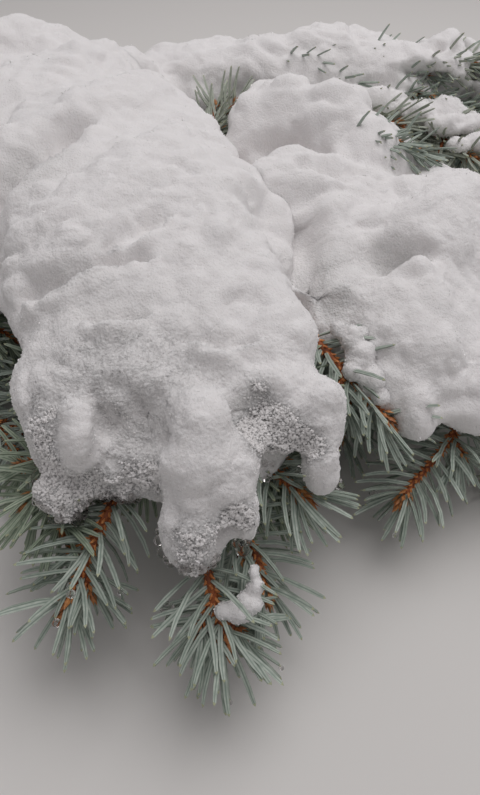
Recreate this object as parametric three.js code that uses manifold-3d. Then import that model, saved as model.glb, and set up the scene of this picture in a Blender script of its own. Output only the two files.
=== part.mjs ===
// A snow-laden spruce bough, cut off and lying down. Millimetres, Z up, the tip of the bough towards -Y.
import * as THREE from "three";
import { mergeVertices } from "three/addons/utils/BufferGeometryUtils.js";
import Module from "manifold-3d";

const wasm = await Module();
wasm.setup();

// Room between pieces that rest on each other.
const CLEARANCE = 0.3;

// Needles: real length, drawn a little thicker and further apart than life.
const NEEDLE = { length: 24, width: 2.7, spacing: 8.5, lean: 56, sunk: 1.2 };
const GOLDEN_ANGLE = 137.508;

// Twigs are three-sided and limbs six-sided.
const TWIG = { start: 2.6, end: 1.5, sides: 3, steps: 4, side_steps: 2, angle: 48 };
const LIMB = { sides: 6, steps: 8 };

// Faces of a drift of snow, round it and along it.
const LOAF = { sides: 12, rows: 9, blunt: 0.55, square: 0.75 };

// Heaps wider than this have finer faces.
const FINE_HEAP = 55;

// Lumps on the snow: height and wavelength of each wave.
const LUMPS = [
  { height: 2.0, wave: 62 },
  { height: 1.3, wave: 37 },
  { height: 0.7, wave: 23 },
];
const LUMP_SEED = 5;

const COLOURS = {
  bark: "#6b4a36",
  needles: "#73807a",
  snow: "#dcdde0",
};

// Each limb: the points it runs through, from its thick end, and its radius at both ends.
const LIMBS = {
  stem: {
    through: [
      [-170, 572, 6.2],
      [-158, 530, 30],
      [-146, 488, 49],
      [-130, 444, 61],
      [-108, 394, 66],
      [-82, 338, 68],
      [-60, 284, 69],
      [-42, 234, 68],
      [-28, 186, 64],
      [-17, 142, 59],
      [-12, 104, 50.5],
    ],
    radius: [7.6, 2.1],
  },
  bough_left_front: {
    through: [
      [-41, 228, 67],
      [-53, 190, 66],
      [-52, 156, 61],
      [-45, 131, 56],
    ],
    radius: [2.8, 2.0],
  },
  bough_left: {
    through: [
      [-92, 358, 67],
      [-122, 322, 70],
      [-148, 276, 66],
      [-164, 230, 54],
      [-170, 196, 41],
    ],
    radius: [4.0, 2.1],
  },
  bough_left_back: {
    through: [
      [-140, 470, 54],
      [-176, 446, 58],
      [-206, 406, 52],
      [-222, 364, 38],
    ],
    radius: [3.8, 2.1],
  },
  bough_right_front: {
    through: [
      [-47, 250, 68],
      [-18, 226, 76],
      [8, 208, 81],
      [29, 191, 80],
    ],
    radius: [3.0, 2.0],
  },
  bough_right: {
    through: [
      [-94, 364, 67],
      [-34, 350, 73],
      [30, 324, 75],
      [82, 284, 69],
      [120, 238, 58],
      [140, 200, 46],
    ],
    radius: [4.4, 2.1],
  },
  bough_right_back: {
    through: [
      [-138, 464, 56],
      [-70, 456, 66],
      [10, 456, 72],
      [92, 456, 72],
      [164, 448, 66],
      [212, 414, 48],
    ],
    radius: [4.6, 2.1],
  },
};

// Each mass of needles grows from one twig: where on its limb it starts, the points it runs through to its tip,
// how many side twigs it has and how long they are.
const FOLIAGE = {
  needles_tip: {
    limb: "stem",
    at: 1,
    through: [[-5, 84, 37]],
    sides: 2,
    reach: 9,
  },
  needles_tip_low: {
    limb: "stem",
    at: 0.93,
    through: [[4, 116, 43], [9, 103, 35]],
    sides: 1,
    reach: 9,
  },
  needles_tip_right: {
    limb: "stem",
    at: 0.86,
    through: [[3, 145, 62], [22, 129, 56]],
    sides: 2,
    reach: 11,
  },
  needles_left_front: {
    limb: "bough_left_front",
    at: 1,
    through: [[-60, 97, 38]],
    sides: 2,
    reach: 9,
  },
  needles_left_inner: {
    limb: "bough_left",
    at: 0.62,
    through: [[-124, 204, 30], [-98, 172, 11]],
    sides: 2,
    reach: 24,
  },
  needles_left_tip: {
    limb: "bough_left",
    at: 1,
    through: [[-168, 152, 18]],
    sides: 2,
    reach: 26,
  },
  needles_left_outer: {
    limb: "bough_left",
    at: 0.5,
    through: [[-186, 262, 44], [-200, 226, 22]],
    sides: 2,
    reach: 24,
  },
  needles_left_back: {
    limb: "bough_left_back",
    at: 1,
    through: [[-226, 322, 16]],
    sides: 3,
    reach: 28,
  },
  needles_left_gap: {
    limb: "stem",
    at: 0.36,
    through: [[-138, 372, 54], [-170, 346, 30]],
    sides: 2,
    reach: 24,
  },
  needles_right_front: {
    limb: "bough_right_front",
    at: 1,
    through: [[57, 162, 62]],
    sides: 2,
    reach: 10,
  },
  needles_right_inner: {
    limb: "bough_right",
    at: 0.78,
    through: [[97, 182, 45], [69, 148, 29]],
    sides: 2,
    reach: 13,
  },
  needles_right_low: {
    limb: "bough_right",
    at: 0.6,
    through: [[66, 236, 44], [48, 190, 18]],
    sides: 2,
    reach: 24,
  },
  needles_right_tip: {
    limb: "bough_right",
    at: 1,
    through: [[148, 160, 14]],
    sides: 3,
    reach: 26,
  },
  needles_right_outer: {
    limb: "bough_right",
    at: 0.74,
    through: [[148, 240, 44], [172, 212, 20]],
    sides: 2,
    reach: 24,
  },
  needles_valley: {
    limb: "bough_right",
    at: 0.2,
    through: [[-22, 384, 88], [-2, 396, 100]],
    sides: 2,
    reach: 18,
  },
  needles_back_front: {
    limb: "bough_right_back",
    at: 0.66,
    through: [[118, 410, 82], [142, 366, 80]],
    sides: 3,
    reach: 26,
  },
  needles_back_inner: {
    limb: "bough_right_back",
    at: 0.53,
    through: [[74, 424, 84], [98, 384, 92]],
    sides: 3,
    reach: 22,
  },
  needles_back_tip: {
    limb: "bough_right_back",
    at: 1,
    through: [[222, 368, 17]],
    sides: 3,
    reach: 28,
  },
  needles_back_outer: {
    limb: "bough_right_back",
    at: 0.78,
    through: [[184, 470, 40], [206, 490, 20]],
    sides: 2,
    reach: 24,
  },
  needles_back_rear: {
    limb: "bough_right_back",
    at: 0.48,
    through: [[70, 498, 46], [98, 520, 18]],
    sides: 2,
    reach: 24,
  },
  needles_back_left: {
    limb: "bough_right_back",
    at: 0.26,
    through: [[-26, 496, 42], [-8, 524, 16]],
    sides: 2,
    reach: 24,
  },
};

// Snow lies along the limbs in drifts and on its own in heaps. A drift has its half width and its rise above its
// middle, both spread along it, its fall below the middle, and its lift off the limb. A heap is an ellipsoid: its
// middle, then its half width, half depth, rise and fall.
const SNOW = {
  snow_front: {
    drifts: [
      {
        limb: "stem",
        from: 0.13,
        to: 0.965,
        wide: [56, 68, 72, 70, 58],
        rise: [66, 56, 50, 50, 44],
        fall: 12,
        lift: 8,
      },
    ],
    heaps: [
      [-140, 456, 70, 56, 50, 60, 16],
      [-44, 162, 70, 40, 36, 40, 12],
      [8, 178, 86, 19, 28, 18, 12],
      [-65, 142, 68, 11, 11, 14, 12],
      [-56, 136, 78, 10, 11, 18, 20],
      [-62, 125, 62, 10, 9, 9, 9],
      [-38, 133, 65, 22, 12, 14, 10],
      [-12, 130, 93, 11, 14, 13, 18],
      [-10.5, 120, 79, 15.5, 13, 17, 20],
      [-15, 108, 63, 11.5, 11, 14, 13],
      [2.5, 110, 67, 4, 5, 11, 10],
      [8, 152, 79, 20, 22, 18, 10],
      [28, 144, 80, 9, 14, 16, 14],
      [28.5, 129, 70, 6.5, 8, 10, 11],
    ],
  },
  snow_right: {
    drifts: [],
    heaps: [
      [26, 372, 76, 34, 36, 48, 10],
      [50, 360, 78, 32, 34, 45, 10],
      [76, 334, 74, 32, 38, 36, 10],
      [104, 318, 70, 36, 36, 27, 10],
      [132, 300, 64, 34, 36, 30, 10],
      [24, 228, 74, 34, 38, 30, 12],
      [26, 274, 66, 66, 58, 46, 10],
      [80, 286, 68, 54, 46, 36, 10],
      [100, 256, 64, 52, 50, 42, 12],
      [76, 206, 62, 34, 46, 34, 12],
      [108, 208, 56, 44, 50, 34, 14],
      [70, 168, 62, 10, 16, 15, 12],
    ],
  },
  snow_back: {
    drifts: [
      {
        limb: "bough_right_back",
        from: 0.1,
        to: 0.97,
        wide: [36, 40, 38, 36],
        rise: [56, 50, 51, 57],
        fall: 10,
        lift: 2,
      },
    ],
    heaps: [
      [-72, 430, 70, 40, 34, 48, 10],
      [88, 418, 84, 28, 18, 22, 12],
    ],
  },
  snow_left: {
    drifts: [
      {
        limb: "bough_left",
        from: 0.2,
        to: 0.98,
        wide: [50, 46, 34],
        rise: [46, 44, 32],
        fall: 10,
        lift: 4,
      },
    ],
    heaps: [],
  },
  snow_left_back: {
    drifts: [
      {
        limb: "bough_left_back",
        from: 0.25,
        to: 0.97,
        wide: [40, 38, 30],
        rise: [54, 46, 32],
        fall: 10,
        lift: 4,
      },
    ],
    heaps: [],
  },
  snow_clump_back: {
    drifts: [],
    heaps: [
      [131, 404, 92, 24, 15, 12, 8],
      [148, 380, 88, 20, 17, 12, 8],
    ],
  },
  snow_clump_right: {
    drifts: [],
    heaps: [
      [45, 187, 81, 5, 6, 6, 5],
      [48.5, 181, 77, 6.5, 6.5, 6.5, 5],
      [52.5, 174, 71.5, 5.5, 6.5, 6, 5],
    ],
  },
  snow_clump_tip: {
    drifts: [],
    heaps: [
      [-4, 90, 45.8, 3.4, 3, 3, 2.4],
      [0, 88.8, 45, 4.2, 3.5, 3.4, 2.8],
      [3.4, 91.4, 47.6, 4.2, 4, 3.8, 3],
      [5.2, 95.2, 51.2, 3, 3.4, 3.4, 3],
      [4.6, 98.4, 54, 1.9, 2.6, 2.4, 2],
    ],
  },
};

// A repeatable stream of numbers between 0 and 1.
function seeded(seed) {
  let state = seed >>> 0;
  return () => {
    state = (Math.imul(state, 1664525) + 1013904223) >>> 0;
    return state / 4294967296;
  };
}

// Slow waves through space, so that heaps that overlap are lumpy together.
const waves = (() => {
  const random = seeded(LUMP_SEED);
  const list = [];
  for (const { height, wave } of LUMPS) {
    for (let axis = 0; axis < 3; axis++) {
      const direction = new THREE.Vector3(random() - 0.5, random() - 0.5, random() - 0.5).normalize();
      direction.multiplyScalar((2 * Math.PI) / wave);
      list.push({ height, direction, phase: random() * 2 * Math.PI });
    }
  }
  return list;
})();

function lumpAt(point) {
  let sum = 0;
  for (const { height, direction, phase } of waves) {
    sum += height * Math.sin(direction.dot(point) + phase);
  }
  return sum;
}

// A closed geometry as a solid that can be joined and cut.
function solidOf(geometry, tolerance = 1e-4) {
  geometry.deleteAttribute("normal");
  geometry.deleteAttribute("uv");
  const merged = mergeVertices(geometry, tolerance);
  const index = new Uint32Array(merged.index.array);
  return new wasm.Manifold(
    new wasm.Mesh({ numProp: 3, vertProperties: merged.attributes.position.array, triVerts: index }),
  );
}

function join(solids) {
  return wasm.Manifold.union(solids);
}

// The largest body of a solid: loose scraps are dropped.
function largest(solid) {
  return solid.decompose().reduce((best, body) => (body.volume() > best.volume() ? body : best));
}

function curveThrough(points) {
  return new THREE.CatmullRomCurve3(
    points.map((p) => (p.isVector3 ? p : new THREE.Vector3(...p))),
    false,
    "catmullrom",
    0.5,
  );
}

// A tapering tube: the rows of a cylinder moved onto the curve. Extra makes it that much larger all over.
function tube(curve, radii, sides, steps, extra = 0) {
  const geometry = new THREE.CylinderGeometry(1, 1, 1, sides, steps);
  const frames = curve.computeFrenetFrames(steps, false);
  const position = geometry.attributes.position;
  const point = new THREE.Vector3();
  for (let i = 0; i < position.count; i++) {
    const row = Math.round((0.5 - position.getY(i)) * steps);
    const radius = THREE.MathUtils.lerp(radii[0], radii[1], row / steps) + extra;
    curve.getPointAt(row / steps, point);
    if (row === 0 || row === steps) {
      point.addScaledVector(frames.tangents[row], row === 0 ? -extra : extra);
    }
    point.addScaledVector(frames.normals[row], position.getX(i) * radius);
    point.addScaledVector(frames.binormals[row], position.getZ(i) * radius);
    position.setXYZ(i, point.x, point.y, point.z);
  }
  return solidOf(geometry);
}

// A curve as a row of short rods, for measuring how near other pieces are.
function rodsAlong(curve, radii, steps) {
  const rods = [];
  for (let i = 0; i < steps; i++) {
    rods.push({
      a: curve.getPointAt(i / steps),
      b: curve.getPointAt((i + 1) / steps),
      radius: THREE.MathUtils.lerp(radii[0], radii[1], i / steps),
    });
  }
  return rods;
}

// The least distance between the middle lines of two rods.
function rodDistance(p, q) {
  const u = p.b.clone().sub(p.a);
  const v = q.b.clone().sub(q.a);
  const w = p.a.clone().sub(q.a);
  const uu = u.dot(u);
  const uv = u.dot(v);
  const vv = v.dot(v);
  const uw = u.dot(w);
  const vw = v.dot(w);
  const clamp = THREE.MathUtils.clamp;
  const flat = uu * vv - uv * uv;
  let s = flat > 1e-9 ? clamp((uv * vw - vv * uw) / flat, 0, 1) : 0;
  const t = clamp((uv * s + vw) / vv, 0, 1);
  s = clamp((uv * t - uw) / uu, 0, 1);
  return w.addScaledVector(u, s).addScaledVector(v, -t).length();
}

function isNear(p, q, room) {
  return rodDistance(p, q) < p.radius + q.radius + room;
}

// The stem and its boughs: each bough starts at the stem's surface.
const limbs = {};
for (const [name, { through, radius }] of Object.entries(LIMBS)) {
  const curve = curveThrough(through);
  limbs[name] = {
    curve,
    radius,
    solid: tube(curve, radius, LIMB.sides, LIMB.steps),
    grown: tube(curve, radius, LIMB.sides, LIMB.steps, CLEARANCE * 1.2),
    rods: rodsAlong(curve, radius, LIMB.steps),
  };
}
for (const [name, limb] of Object.entries(limbs)) {
  if (name !== "stem") {
    limb.solid = largest(limb.solid.subtract(limbs.stem.grown));
  }
}

// The twigs of one mass: one that carries on from its limb, and side twigs left and right of it in turn.
function growTwigs({ limb, at, through, sides, reach }, random) {
  const start = limbs[limb].curve.getPointAt(at);
  const lengthwise = limbs[limb].curve.getTangentAt(at);
  if (at === 1) {
    start.addScaledVector(lengthwise, CLEARANCE);
  }
  const main = curveThrough([start, ...through]);
  const bare = at === 1 ? 0.05 : 0.25;
  const twigs = [{ curve: main, radii: [TWIG.start, TWIG.end], steps: TWIG.steps, bare }];
  for (let i = 0; i < sides; i++) {
    const share = 0.3 + (0.55 * (i + 0.5)) / sides;
    const turn = (i % 2 ? 1 : -1) * (TWIG.angle + 12 * (random() - 0.5));
    const direction = main.getTangentAt(share);
    direction.applyAxisAngle(new THREE.Vector3(0, 0, 1), THREE.MathUtils.degToRad(turn));
    const length = reach * (1.15 - 0.45 * share) * (0.85 + 0.3 * random());
    const root = main.getPointAt(share);
    const middle = root.clone().addScaledVector(direction, length * 0.5);
    const tip = root.clone().addScaledVector(direction, length);
    tip.z -= length * 0.12;
    twigs.push({
      curve: curveThrough([root, middle, tip]),
      radii: [TWIG.end * 1.2, TWIG.end * 0.8],
      steps: TWIG.side_steps,
      bare: 0.12,
    });
  }
  return twigs;
}

// Needles spiral round a twig and lean towards its tip, where they close to a brush.
function needlesOn({ curve, bare }, random) {
  const length = curve.getLength();
  const count = Math.max(4, Math.round((length * (1 - bare)) / NEEDLE.spacing));
  const frames = curve.computeFrenetFrames(count, false);
  const needles = [];
  for (let i = 0; i <= count; i++) {
    const share = bare + ((1 - bare) * i) / count;
    const closing = Math.max(0, (i - count + 3) / 3);
    const lean = THREE.MathUtils.degToRad(NEEDLE.lean * (1 - 0.62 * closing) + 12 * (random() - 0.5));
    const around = THREE.MathUtils.degToRad(GOLDEN_ANGLE * i + 20 * random());
    const frame = Math.min(count, Math.round(share * count));
    const direction = curve.getTangentAt(share).multiplyScalar(Math.cos(lean));
    direction.addScaledVector(frames.normals[frame], Math.sin(lean) * Math.cos(around));
    direction.addScaledVector(frames.binormals[frame], Math.sin(lean) * Math.sin(around));
    direction.normalize();
    const size = NEEDLE.length * (0.82 + 0.22 * random());
    const root = curve.getPointAt(share).addScaledVector(direction, -NEEDLE.sunk * 0.5);
    needles.push({ a: root, b: root.clone().addScaledVector(direction, size), radius: NEEDLE.width / 2 });
  }
  return needles;
}

// A needle is three-sided here, and pointed at both ends.
function needleSolid({ a, b }) {
  const axis = b.clone().sub(a);
  const geometry = new THREE.SphereGeometry(1, 3, 2);
  geometry.scale(NEEDLE.width / 2, axis.length() / 2, NEEDLE.width / 2);
  const turn = new THREE.Quaternion().setFromUnitVectors(new THREE.Vector3(0, 1, 0), axis.clone().normalize());
  geometry.applyQuaternion(turn);
  geometry.translate((a.x + b.x) / 2, (a.y + b.y) / 2, (a.z + b.z) / 2);
  return solidOf(geometry);
}

// A heap of snow: a sphere drawn out to its sizes, flatter below its middle, with lumps.
function heap([x, y, z, wide, deep, rise, fall], extra = 0) {
  const geometry = new THREE.IcosahedronGeometry(1, wide > FINE_HEAP ? 2 : 1);
  const position = geometry.attributes.position;
  const middle = new THREE.Vector3(x, y, z);
  const point = new THREE.Vector3();
  for (let i = 0; i < position.count; i++) {
    const outward = new THREE.Vector3().fromBufferAttribute(position, i);
    const high = outward.z > 0 ? rise : fall;
    point.set(outward.x * (wide + extra), outward.y * (deep + extra), outward.z * (high + extra)).add(middle);
    point.addScaledVector(outward, lumpAt(point) * Math.min(1, wide / 40) * (outward.z > 0 ? 1 : 0.4));
    position.setXYZ(i, point.x, point.y, point.z);
  }
  return solidOf(geometry);
}

// A value from a short list that is spread evenly over 0 to 1.
function spread(list, share) {
  const place = share * (list.length - 1);
  const low = Math.min(Math.floor(place), list.length - 2);
  return THREE.MathUtils.lerp(list[low], list[low + 1], place - low);
}

// A coordinate of the unit circle moved out towards the unit square.
function squared(value) {
  return Math.sign(value) * Math.abs(value) ** LOAF.square;
}

// Snow along a limb: the rows of a cylinder laid across the limb, each an ellipse that is flatter below its
// middle, and rounded off at both ends, with lumps.
function loaf({ limb, from, to, wide, rise, fall, lift }, extra = 0) {
  const geometry = new THREE.CylinderGeometry(1, 1, 1, LOAF.sides, LOAF.rows);
  const { curve } = limbs[limb];
  const position = geometry.attributes.position;
  const up = new THREE.Vector3(0, 0, 1);
  for (let i = 0; i < position.count; i++) {
    const row = Math.round((0.5 - position.getY(i)) * LOAF.rows);
    const angle = (Math.PI * row) / LOAF.rows;
    const share = 0.5 - 0.5 * Math.cos(angle);
    const swell = Math.max(0.02, Math.sin(angle) ** LOAF.blunt);
    const place = THREE.MathUtils.lerp(from, to, share);
    const middle = curve.getPointAt(place);
    const across = up.clone().cross(curve.getTangentAt(place)).normalize();
    middle.z += lift;
    const side = squared(position.getX(i));
    const height = squared(position.getZ(i));
    const high = height > 0 ? spread(rise, share) : fall;
    const outward = across.clone().multiplyScalar(side).addScaledVector(up, height);
    const point = middle.clone();
    point.addScaledVector(across, side * (spread(wide, share) * swell + extra));
    point.addScaledVector(up, height * (high * swell + extra));
    point.addScaledVector(outward, lumpAt(point) * swell * (height > 0 ? 1 : 0.4));
    position.setXYZ(i, point.x, point.y, point.z);
  }
  return solidOf(geometry);
}

function drift({ drifts, heaps }, extra = 0) {
  return join([...drifts.map((one) => loaf(one, extra)), ...heaps.map((sizes) => heap(sizes, extra))]);
}

// Everything that a twig or needle keeps clear of: the limbs, and the masses that are already grown.
const rodsOf = (owner, rods) => rods.map((rod) => ({ ...rod, owner }));
const taken = Object.entries(limbs).flatMap(([name, limb]) => rodsOf(name, limb.rods));
const allSnow = join(Object.values(SNOW).map((spec) => drift(spec, CLEARANCE)));

// The space above the ground.
const aboveGround = solidOf(new THREE.BoxGeometry(2000, 2000, 500).translate(0, 0, 250));

const masses = {};
Object.entries(FOLIAGE).forEach(([name, spec], number) => {
  const random = seeded(1000 + 77 * number);
  const twigs = growTwigs(spec, random);
  const own = [];
  const twigSolids = [];
  const twigGrown = [];
  const needles = [];
  for (const twig of twigs) {
    const rods = rodsAlong(twig.curve, twig.radii, twig.steps);
    const others = taken.filter((other) => other.owner !== spec.limb);
    const crosses = (rod) => others.some((other) => isNear(rod, other, CLEARANCE * 2));
    if (twig !== twigs[0] && rods.some(crosses)) {
      continue;
    }
    twigSolids.push(tube(twig.curve, twig.radii, TWIG.sides, twig.steps));
    twigGrown.push(tube(twig.curve, twig.radii, TWIG.sides, twig.steps, CLEARANCE * 2));
    own.push(...rods);
    for (const needle of needlesOn(twig, random)) {
      const outer = { ...needle, a: needle.a.clone().lerp(needle.b, 0.3) };
      const blocked = (other) => isNear(outer, other, CLEARANCE);
      if (!taken.some(blocked) && !needles.some(blocked)) {
        needles.push(needle);
      }
    }
  }
  const spikes = join(needles.map(needleSolid)).subtract(allSnow);
  const brush = join([...twigSolids, spikes]).subtract(limbs[spec.limb].grown).intersect(aboveGround);
  masses[name] = { solid: largest(brush), grown: join(twigGrown) };
  taken.push(...rodsOf(name, [...own, ...needles]));
});

// The snow rests on the limbs and twigs, and each mass of it against the one before.
const snow = {};
const carried = join([
  ...Object.values(limbs).map((limb) => limb.grown),
  ...Object.values(masses).map((mass) => mass.grown),
]);
let before = null;
for (const [name, spec] of Object.entries(SNOW)) {
  let solid = drift(spec).subtract(carried);
  if (before) {
    solid = solid.subtract(before);
  }
  snow[name] = largest(solid);
  before = before ? before.add(drift(spec, CLEARANCE)) : drift(spec, CLEARANCE);
}

const materials = {
  bark: new THREE.MeshStandardMaterial({ color: COLOURS.bark, roughness: 0.85, metalness: 0 }),
  needles: new THREE.MeshStandardMaterial({ color: COLOURS.needles, roughness: 0.55, metalness: 0 }),
  snow: new THREE.MeshStandardMaterial({ color: COLOURS.snow, roughness: 0.8, metalness: 0 }),
};

function geometryOf(solid) {
  const { vertProperties, triVerts } = solid.getMesh();
  const geometry = new THREE.BufferGeometry();
  geometry.setAttribute("position", new THREE.BufferAttribute(new Float32Array(vertProperties), 3));
  geometry.setIndex(new THREE.BufferAttribute(new Uint32Array(triVerts), 1));
  return geometry;
}

const pieces = [
  ...Object.entries(limbs).map(([name, limb]) => [name, limb.solid.intersect(aboveGround), materials.bark]),
  ...Object.entries(masses).map(([name, mass]) => [name, mass.solid, materials.needles]),
  ...Object.entries(snow).map(([name, solid]) => [name, solid, materials.snow]),
];

// The origin is the middle of the bough's outline, on the ground.
const outline = new THREE.Box3();
for (const [, solid] of pieces) {
  outline.union(new THREE.Box3().setFromBufferAttribute(geometryOf(solid).attributes.position));
}
const centre = outline.getCenter(new THREE.Vector3());

// Points closer than this are one point, which can pinch off a scrap.
const MERGE = 1e-3;

const bough = new THREE.Group();
bough.name = "spruce_bough";
for (const [name, solid, material] of pieces) {
  const placed = geometryOf(solid).translate(-centre.x, -centre.y, -outline.min.z);
  const geometry = geometryOf(largest(solidOf(placed, MERGE)));
  geometry.computeVertexNormals();
  const mesh = new THREE.Mesh(geometry, material);
  mesh.name = name;
  bough.add(mesh);
}

export default bough;
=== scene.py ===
# %% [markdown]
# # A snow-laden spruce bough
# The object is the end of a spruce bough under fresh, heavy snow. It is cut off and lies on the floor: a stem
# and six side boughs, dense needles below, and one thick blanket of snow on top that hangs over the tips.
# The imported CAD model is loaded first. It fixes the place and size of everything that follows, so each piece
# made here is built round the same named sizes, and then stands in for the CAD node that it dresses.

# %% The frame
import math

import bmesh
import bpy
import numpy as np
from mathutils import Matrix, Vector, noise


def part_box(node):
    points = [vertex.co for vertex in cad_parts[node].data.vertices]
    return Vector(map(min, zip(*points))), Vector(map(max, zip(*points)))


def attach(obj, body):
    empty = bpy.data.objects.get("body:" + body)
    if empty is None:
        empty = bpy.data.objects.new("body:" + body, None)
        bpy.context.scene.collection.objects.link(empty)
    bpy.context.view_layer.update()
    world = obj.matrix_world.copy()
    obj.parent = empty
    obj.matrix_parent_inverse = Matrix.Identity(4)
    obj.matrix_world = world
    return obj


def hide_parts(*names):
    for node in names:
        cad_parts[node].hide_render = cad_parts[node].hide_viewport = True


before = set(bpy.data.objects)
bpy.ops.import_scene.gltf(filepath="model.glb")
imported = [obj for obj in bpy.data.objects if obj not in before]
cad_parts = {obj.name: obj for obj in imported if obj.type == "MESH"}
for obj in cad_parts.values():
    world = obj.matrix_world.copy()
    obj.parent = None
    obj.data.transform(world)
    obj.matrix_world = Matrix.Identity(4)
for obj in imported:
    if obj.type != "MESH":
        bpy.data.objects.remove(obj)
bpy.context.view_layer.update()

MM = 0.001
print("nodes:", len(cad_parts))

# %% [markdown]
# ## Where things are
# The sizes below are worked out in millimetres from a point on the floor straight below the camera. The CAD
# model is centred on its own box instead, so every finished point moves by the same short step. The tip of
# the stem is a good test of that step, because its place is known in both frames.

# %% One step from the camera's foot to the centre of the part
CENTRE = np.array([-5.855476, 321.337670, 0.0])


def placed(points):
    """Points in millimetres from the camera's foot, as metres in the part's own frame."""
    return (np.asarray(points, float) - CENTRE) * MM


print("the camera's foot is at", placed([0, 0, 0]).round(3), "m")

# %% [markdown]
# ## The camera
# The bough is seen from a hand's width above its tip, looking half way down, with a wide view like that of a
# phone. The long side of the picture spans 67 degrees, so a 36 mm sensor needs a lens of about 27 mm.

# %% Camera
EYE_HEIGHT = 235.0
LOOK_DOWN = math.radians(45)
FOCAL_PIXELS = 597.0
PICTURE_HEIGHT = 795.0


def add_object(name, data):
    """An object for a camera, a lamp or a mesh, in the scene."""
    made = bpy.data.objects.new(name, data)
    bpy.context.scene.collection.objects.link(made)
    return made


camera_data = bpy.data.cameras.new("camera")
camera_data.sensor_width = 36.0
camera_data.lens = camera_data.sensor_width * FOCAL_PIXELS / PICTURE_HEIGHT
camera_data.clip_start = 0.01
camera = add_object("camera", camera_data)
camera.location = placed([0, 0, EYE_HEIGHT])
camera.rotation_euler = (math.pi / 2 - LOOK_DOWN, 0, 0)
bpy.context.scene.camera = camera
print("lens", round(camera_data.lens, 2), "mm, eye at", [round(v, 3) for v in camera.location])

# %% [markdown]
# ## Colours and nodes
# A colour picked from a screen is an sRGB value, and shaders want linear light, so one function turns a hex
# code into linear numbers. A second small function adds a shader node, sets its properties, and fills its
# sockets: a value that is itself a socket is linked, anything else is set. Four more functions make the parts
# that most materials share: a noise pattern, a mix of two tones, a relief, and a sum.

# %% Colours, nodes and shaders
def colour(hex_code):
    """An sRGB hex code as a linear colour."""
    linear = []
    for i in (1, 3, 5):
        value = int(hex_code[i : i + 2], 16) / 255
        linear.append(value / 12.92 if value <= 0.04045 else ((value + 0.055) / 1.055) ** 2.4)
    return (*linear, 1.0)


def add_node(material, kind, inputs=None, **settings):
    """A new node in a material, with its own settings and its sockets set or linked."""
    tree = material.node_tree
    node = tree.nodes.new(kind)
    for name, value in settings.items():
        setattr(node, name, value)
    for name, value in (inputs or {}).items():
        if isinstance(value, bpy.types.NodeSocket):
            tree.links.new(value, node.inputs[name])
        else:
            node.inputs[name].default_value = value
    return node


def new_material(name):
    """An empty material with its surface shader, ready to be filled."""
    material = bpy.data.materials.new(name)
    material.use_nodes = True
    return material, material.node_tree.nodes["Principled BSDF"]


def set_shader(material, shader, **sockets):
    """Sets or links the sockets of the surface shader: Base_Color stands for Base Color."""
    for name, value in sockets.items():
        socket = shader.inputs[name.replace("_", " ")]
        if isinstance(value, bpy.types.NodeSocket):
            material.node_tree.links.new(value, socket)
        else:
            socket.default_value = value


print("half grey in linear light:", round(colour("#808080")[0], 3))

# %% Nodes that most materials share
def noise_pattern(material, width, **inputs):
    """A noise pattern of a given width, in metres, that is fixed to the object."""
    where = add_node(material, "ShaderNodeTexCoord").outputs["Object"]
    pattern = add_node(material, "ShaderNodeTexNoise", {"Vector": where, "Scale": 1 / width, **inputs})
    return pattern.outputs["Fac"]


def two_tones(material, share, low, high):
    """A colour between two others, which are hex codes or sockets."""
    low, high = [colour(tone) if isinstance(tone, str) else tone for tone in (low, high)]
    mix = add_node(material, "ShaderNodeMix", {"Factor": share, "A": low, "B": high}, data_type="RGBA")
    return mix.outputs["Result"]


def relief(material, height, strength, distance, under=None):
    """A bump, laid over the one under it if there is one."""
    inputs = {"Height": height, "Strength": strength, "Distance": distance}
    if under is not None:
        inputs["Normal"] = under
    return add_node(material, "ShaderNodeBump", inputs).outputs["Normal"]


def worked_out(material, operation, *values):
    """The result of a sum on one or two values, each a number or a socket."""
    return add_node(material, "ShaderNodeMath", dict(enumerate(values)), operation=operation).outputs[0]


print("patterns, tones, reliefs and sums are ready")

# %% [markdown]
# ## Floor and light
# A winter photograph under a closed sky has no hard shadow: the whole sky is the lamp. The world gives the
# even part, and one big square lamp overhead, to the right and a little behind, gives the snow its soft form:
# the slopes that face the eye are then the darker ones, as they are in the photograph.
# The floor is a plain pale plane, made as a grid of a few faces, and is not part of the object.

# %% Floor
FLOOR_HALF = 6.0

floor_shape = bmesh.new()
bmesh.ops.create_grid(floor_shape, x_segments=2, y_segments=2, size=FLOOR_HALF)
floor_mesh = bpy.data.meshes.new("floor")
floor_shape.to_mesh(floor_mesh)
floor_shape.free()
floor = add_object("floor", floor_mesh)
# Matt wall paint, rolled on: it shows no shine, only the soft shadow of the bough.
floor_paint, floor_shader = new_material("matt_pale_floor")
set_shader(floor_paint, floor_shader, Base_Color=colour("#dedcd9"), Roughness=0.9)
floor_mesh.materials.append(floor_paint)
print("floor", 2 * FLOOR_HALF, "m wide")

# %% Light
world = bpy.data.worlds.new("overcast_sky")
world.use_nodes = True
world.node_tree.nodes["Background"].inputs["Color"].default_value = colour("#e6e3e5")
world.node_tree.nodes["Background"].inputs["Strength"].default_value = 0.37
bpy.context.scene.world = world

LAMP_PLACE = (0.30, 0.20, 1.40)
LAMP_AIM = (0.0, -0.05, 0.05)

lamp_data = bpy.data.lights.new("softbox", "AREA")
lamp_data.shape = "SQUARE"
lamp_data.size = 1.3
lamp_data.energy = 11.8
lamp_data.color = (1.0, 0.975, 0.98)
lamp = add_object("softbox", lamp_data)
lamp.location = LAMP_PLACE
aim = Vector(LAMP_AIM) - lamp.location
lamp.rotation_euler = aim.to_track_quat("-Z", "Y").to_euler()
bpy.context.scene.view_settings.view_transform = "Standard"
print("lamp", round(aim.length, 2), "m from what it lights")

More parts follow.
